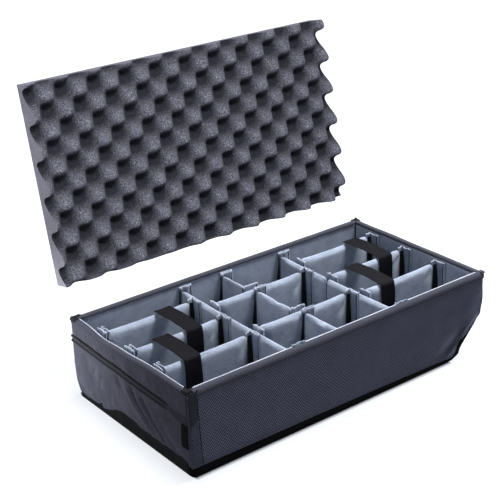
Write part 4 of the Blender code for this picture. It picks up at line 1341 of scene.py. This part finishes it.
def side_label():
    """The blank loop label, with a rounded fold at its free edge."""
    low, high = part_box("side_label")
    plan = [(0.0, 0.0006), (0.004, 0.0012), (0.010, 0.0015), (0.0150, 0.0014), (0.0162, 0.0008), (0.0150, 0.0002),
            (0.010, 0.0001), (0.004, 0.0), (0.0, 0.0)]
    zs = np.linspace(low.z - 0.0025, high.z - 0.0025, 16)
    grid, uvs = blank_grid(len(zs), len(plan))
    for r, z in enumerate(zs):
        for c, (along, out) in enumerate(plan):
            y = low.y - 0.0052 + 1.2 * along + 0.0004 * wander(z, 1, 2, 0.02)
            cover = -HALF_X + COVER_OUT - cover_step(-HALF_X, y, z, -1.0, 0.0)
            grid[r, c] = (cover - out - 0.0010, y, z)
            uvs[r, c] = (along, z)
    made = sheet_piece("side_label_loop", grid, uvs, label_fabric, thickness=0.0003, rounds=1)
    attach(made, "tray")
    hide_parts("side_label")
    return made


side_label()
CORNER_FOLDS = (("back_left", -1, 1, 0.0006, 0.0210, 0.0060, corner_tape),
                ("back_right", 1, 1, 0.0028, 0.0170, 0.0030, corner_tape),
                ("front_left", -1, -1, 0.0004, 0.0160, 0.0050, corner_tape),
                ("front_right", 1, -1, 0.0004, 0.0110, 0.0030, binding_tape))
for tag, side_x, side_y, height, reach, hang, material in CORNER_FOLDS:
    corner_fold("corner_fold_" + tag, side_x, side_y, height, reach, hang, material)
print("trim done")


# %% [markdown]
# ## Convoluted lid foam
# The pad is cut by squeezing a foam sheet between shaped rollers past a blade, which leaves peaks and pits in
# a checkerboard. The height comes from one formula, the same as the CAD solid's but with many more points, so
# the walls between peaks are smooth. The pad's four sides are cut square.

# %% The lid foam
LID = {"length": 0.723, "width": 0.397, "deep": 0.050, "base": 0.015, "cell_u": 0.036, "cell_v": 0.035,
       "first_u": 0.002, "first_v": 0.059, "skew": math.radians(1.3), "lean": 0.008, "power": 0.85}
LID_TILT = math.radians(11.9)
LID_BACK_TOP = Vector((0, 0.3349, 0.6068))


def crate_rise(u, v):
    """The foam's height share at a place on the stock sheet, in cells."""
    wave = math.cos(math.pi * u) * math.cos(math.pi * v)
    return (1 + math.copysign(abs(wave) ** LID["power"], wave)) / 2


def foam_height(x, down):
    """The height over the pad's back at a place x along and down from the top edge."""
    flat = down
    rise = 0.5
    for _ in range(6):
        a = x + LID["length"] / 2 - LID["first_u"]
        b = flat - LID["first_v"] - LID["lean"] * (2 * rise - 1)
        u = a * math.cos(LID["skew"]) + b * math.sin(LID["skew"])
        v = b * math.cos(LID["skew"]) - a * math.sin(LID["skew"])
        rise = 0.5 * rise + 0.5 * crate_rise(u / LID["cell_u"], v / LID["cell_v"])
    return LID["base"] + (LID["deep"] - LID["base"]) * rise


def lid_foam():
    """The pad in its open place: a fine front, square sides and a flat back."""
    half = LID["length"] / 2
    xs = np.linspace(-half, half, 290)
    downs = np.linspace(0, LID["width"], 162)
    down_dir = Vector((0, -math.sin(LID_TILT), -math.cos(LID_TILT)))
    out_dir = Vector((0, -math.cos(LID_TILT), math.sin(LID_TILT)))
    verts = []
    rises = []
    for down in downs:
        for x in xs:
            high = foam_height(x, down)
            rises.append((high - LID["base"]) / (LID["deep"] - LID["base"]))
            place = LID_BACK_TOP + down_dir * down + out_dir * high
            verts.append((x, place.y, place.z))
    rows, columns = len(downs), len(xs)
    faces = [tuple(reversed(f)) for f in grid_faces(rows, columns)]
    border = list(range(columns)) + [r * columns + columns - 1 for r in range(1, rows)]
    border += [(rows - 1) * columns + c for c in range(columns - 2, -1, -1)]
    border += [r * columns for r in range(rows - 2, 0, -1)]
    start = len(verts)
    for index in border:
        x = verts[index][0]
        down = downs[index // columns]
        place = LID_BACK_TOP + down_dir * down
        verts.append((x, place.y, place.z))
    count = len(border)
    for here in range(count):
        there = (here + 1) % count
        faces.append((border[here], border[there], start + there, start + here))
    faces.append(tuple(start + i for i in range(count)))
    made = mesh_piece("lid_foam_convoluted", verts, faces, lid_foam_skin)
    # The sawn sides and the back take the lighter copy of the foam, which is painted light.
    made.data.materials.append(cut_foam_lighter_copy)
    sides = len(faces) - count - 1
    for face in made.data.polygons:
        face.use_smooth = face.index < sides
        face.material_index = 0 if face.index < sides else 1
    rise = made.data.attributes.new("rise", "FLOAT", "POINT")
    rise.data.foreach_set("value", rises + [1.0] * count)
    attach(made, "lid_foam")
    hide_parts("lid_foam")
    return made


foam = lid_foam()
print("lid foam", len(foam.data.polygons), "faces")

# %% [markdown]
# ## The foam boards inside
# The wall, floor and ramp boards are hidden by the cover and the lining. A board is cut from its CAD solid by
# a Boolean with the inside of the pan, so that its lower edge is round where the pan is round. No render shows
# a board, so the script stops if a cut leaves nothing of one. The handle end's board then sags with the rim.

# %% The hidden boards
def sag_board(mesh):
    """Lowers the handle end's board with the rim above it."""
    bm = bmesh.new()
    bm.from_mesh(mesh)
    for cut in range(-8, 10):
        cut_through(bm, (0, 0.02 * cut, 0), (0, 1, 0))
    for vert in bm.verts:
        vert.co.z -= rim_sag(vert.co.y, vert.co.z, -1.0)
    bm.to_mesh(mesh)
    bm.free()


def foam_boards():
    """Each board, trimmed to the inside of the pan."""
    inside = object_of(pan_form(PAN_INSET + 0.0010, 0.0045, inner=True), "pan_inside", board_foam_skin)
    boards = []
    for node in ("wall_foam_front", "wall_foam_back", "wall_foam_handle_end", "wall_foam_wheel_end",
                 "floor_foam", "ramp_foam"):
        block = bpy.data.objects.new(node + "_block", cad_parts[node].data.copy())
        bpy.context.scene.collection.objects.link(block)
        cut = block.modifiers.new("trimmed", "BOOLEAN")
        cut.operation = "INTERSECT"
        cut.object = inside
        bpy.context.view_layer.update()
        graph = bpy.context.evaluated_depsgraph_get()
        mesh = bpy.data.meshes.new_from_object(block.evaluated_get(graph))
        if not mesh.polygons:
            raise RuntimeError("the cut left nothing of " + node)
        bpy.data.objects.remove(block)
        if node == "wall_foam_handle_end":
            sag_board(mesh)
        mesh.materials.clear()
        mesh.materials.append(board_foam_skin)
        made = bpy.data.objects.new(node + "_board", mesh)
        bpy.context.scene.collection.objects.link(made)
        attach(made, "tray")
        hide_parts(node)
        boards.append(len(mesh.polygons))
    bpy.data.objects.remove(inside)
    return boards


print("boards", foam_boards(), "faces")


# %% [markdown]
# ## Floor and light
# The photograph has a white sweep. The tray's key light stands high on the right: each divider and each strap
# throws its shadow down to the left. The lid foam was lit from the upper left instead, as its pits show, so it
# has a lamp of its own and is left out of the key. To the camera and in reflections the floor is lifted to
# white by a little glow, which keeps the shadow. The glow fades to nothing at the tray's foot, which paints a
# dark contact shadow there.

# %% The stage
def white_where(tree, path):
    """1 for rays that should find plain white: the camera's, and those that are reflected or let through."""
    seen = path.outputs["Is Camera Ray"]
    for ray in ("Is Glossy Ray", "Is Transmission Ray"):
        seen = add(tree, "Math", {0: seen, 1: path.outputs[ray]}, operation="MAXIMUM").outputs[0]
    return seen


def white_sweep():
    """The floor: white paper that keeps a soft shadow near the object, darkened at the object's foot by a painted
    contact shadow, and is plain white further out.
    """
    made, tree, shader = new_material("white paper sweep", 0.9, 0.0, "#FFFFFF", 0.0)
    path = add(tree, "LightPath")
    seen = white_where(tree, path)
    camera_ray = path.outputs["Is Camera Ray"]
    paper = add(tree, "Mix", {0: camera_ray, 6: linear("#6C6D73"), 7: (0.13, 0.135, 0.15, 1)}, **MIX)
    tree.links.new(paper.outputs[2], shader.inputs["Base Color"])
    foot_x = HALF_X - RAMP_RUN / 2
    place = add(tree, "TexCoord").outputs["Object"]
    for operation, value in (("ADD", (RAMP_RUN / 2, 0, 0)), ("ABSOLUTE", None),
                             ("SUBTRACT", (foot_x - 0.013, HALF_Y - 0.002, 1)), ("MAXIMUM", (0, 0, 0)),
                             ("MULTIPLY", (2.5, 1, 1))):
        inputs = {0: place, 1: value} if value else {0: place}
        place = add(tree, "VectorMath", inputs, operation=operation).outputs[0]
    away = add(tree, "VectorMath", {0: place}, operation="LENGTH").outputs["Value"]
    # Painted contact shadow: the glow is nothing at the tray's foot, rises to most of its strength within 10 mm,
    # and reaches the rest further out.
    contact_shadow_ramps = [add(tree, "MapRange", {"Value": away, "From Min": low, "From Max": high, "To Max": most}).outputs[0]
            for low, high, most in ((0.0, 0.010, 0.80), (0.02, 0.16, 0.27))]
    lift = add(tree, "Math", dict(enumerate(contact_shadow_ramps)), operation="ADD").outputs[0]
    glow_share = add(tree, "Math", {0: seen, 1: lift}, operation="MULTIPLY").outputs[0]
    glow = add(tree, "Emission", {"Color": (0.94, 0.96, 1.0, 1), "Strength": glow_share})
    both = add(tree, "AddShader", {0: shader.outputs[0], 1: glow.outputs[0]})
    out = tree.nodes["Material Output"]
    tree.links.new(both.outputs[0], out.inputs["Surface"])
    size = 14.0
    corners = [(-size, -size, 0), (size, -size, 0), (size, size, 0), (-size, size, 0)]
    floor = mesh_piece("floor", corners, [(0, 1, 2, 3)], made)
    floor.location.z = -0.0004


def softbox(name, place, aim, size, power, spread=180):
    """A square area lamp that points at a place. A smaller spread keeps its light together."""
    data = bpy.data.lights.new(name, "AREA")
    data.size = size
    data.energy = power
    data.spread = math.radians(spread)
    made = bpy.data.objects.new(name, data)
    made.location = place
    made.rotation_euler = (Vector(aim) - Vector(place)).to_track_quat("-Z", "Y").to_euler()
    made.visible_camera = False
    bpy.context.scene.collection.objects.link(made)
    return made


def link_light(lamp, piece, state):
    """Makes a lamp light one piece only (INCLUDE), or all but that piece (EXCLUDE)."""
    group = bpy.data.collections.new(lamp.name + "_link")
    group.objects.link(piece)
    group.collection_objects[0].light_linking.link_state = state
    lamp.light_linking.receiver_collection = group


def world_light(strength, tint):
    """Even light from all round, and white where the camera sees past the floor."""
    world = bpy.data.worlds.new("studio")
    bpy.context.scene.world = world
    world.use_nodes = True
    tree = world.node_tree
    path = add(tree, "LightPath")
    plain = tree.nodes["Background"]
    plain.inputs["Color"].default_value = linear(tint)
    plain.inputs["Strength"].default_value = strength
    white = add(tree, "Background", {"Color": (1, 1, 1, 1), "Strength": 1.0})
    seen = white_where(tree, path)
    pick = add(tree, "MixShader", {0: seen, 1: plain.outputs[0], 2: white.outputs[0]})
    tree.links.new(pick.outputs[0], tree.nodes["World Output"].inputs["Surface"])


white_sweep()
key = softbox("key_light", (0.85, -0.14, 2.32), (0, 0, 0.10), 0.85, 150)
link_light(key, foam, "EXCLUDE")
foam_light = softbox("foam_light", (-0.75, -1.7, 2.7), (0, 0.25, 0.4), 0.6, 112)
link_light(foam_light, foam, "INCLUDE")
softbox("front_low", (-0.5, -2.6, 0.40), (0, 0, 0.12), 0.7, 6)
softbox("left_fill", (-2.0, -1.0, 1.2), (0, 0, 0.15), 1.4, 18)
softbox("tray_edge", (-0.85, 0.56, 0.15), (-0.375, 0.20, 0.10), 0.20, 0.58, 32)
softbox("foam_edge", (-1.00, 0.55, 0.95), (-0.36, 0.30, 0.42), 0.25, 0.15, 36)
world_light(0.17, "#E6EBFF")

scene = bpy.context.scene
scene.view_settings.view_transform = "Standard"
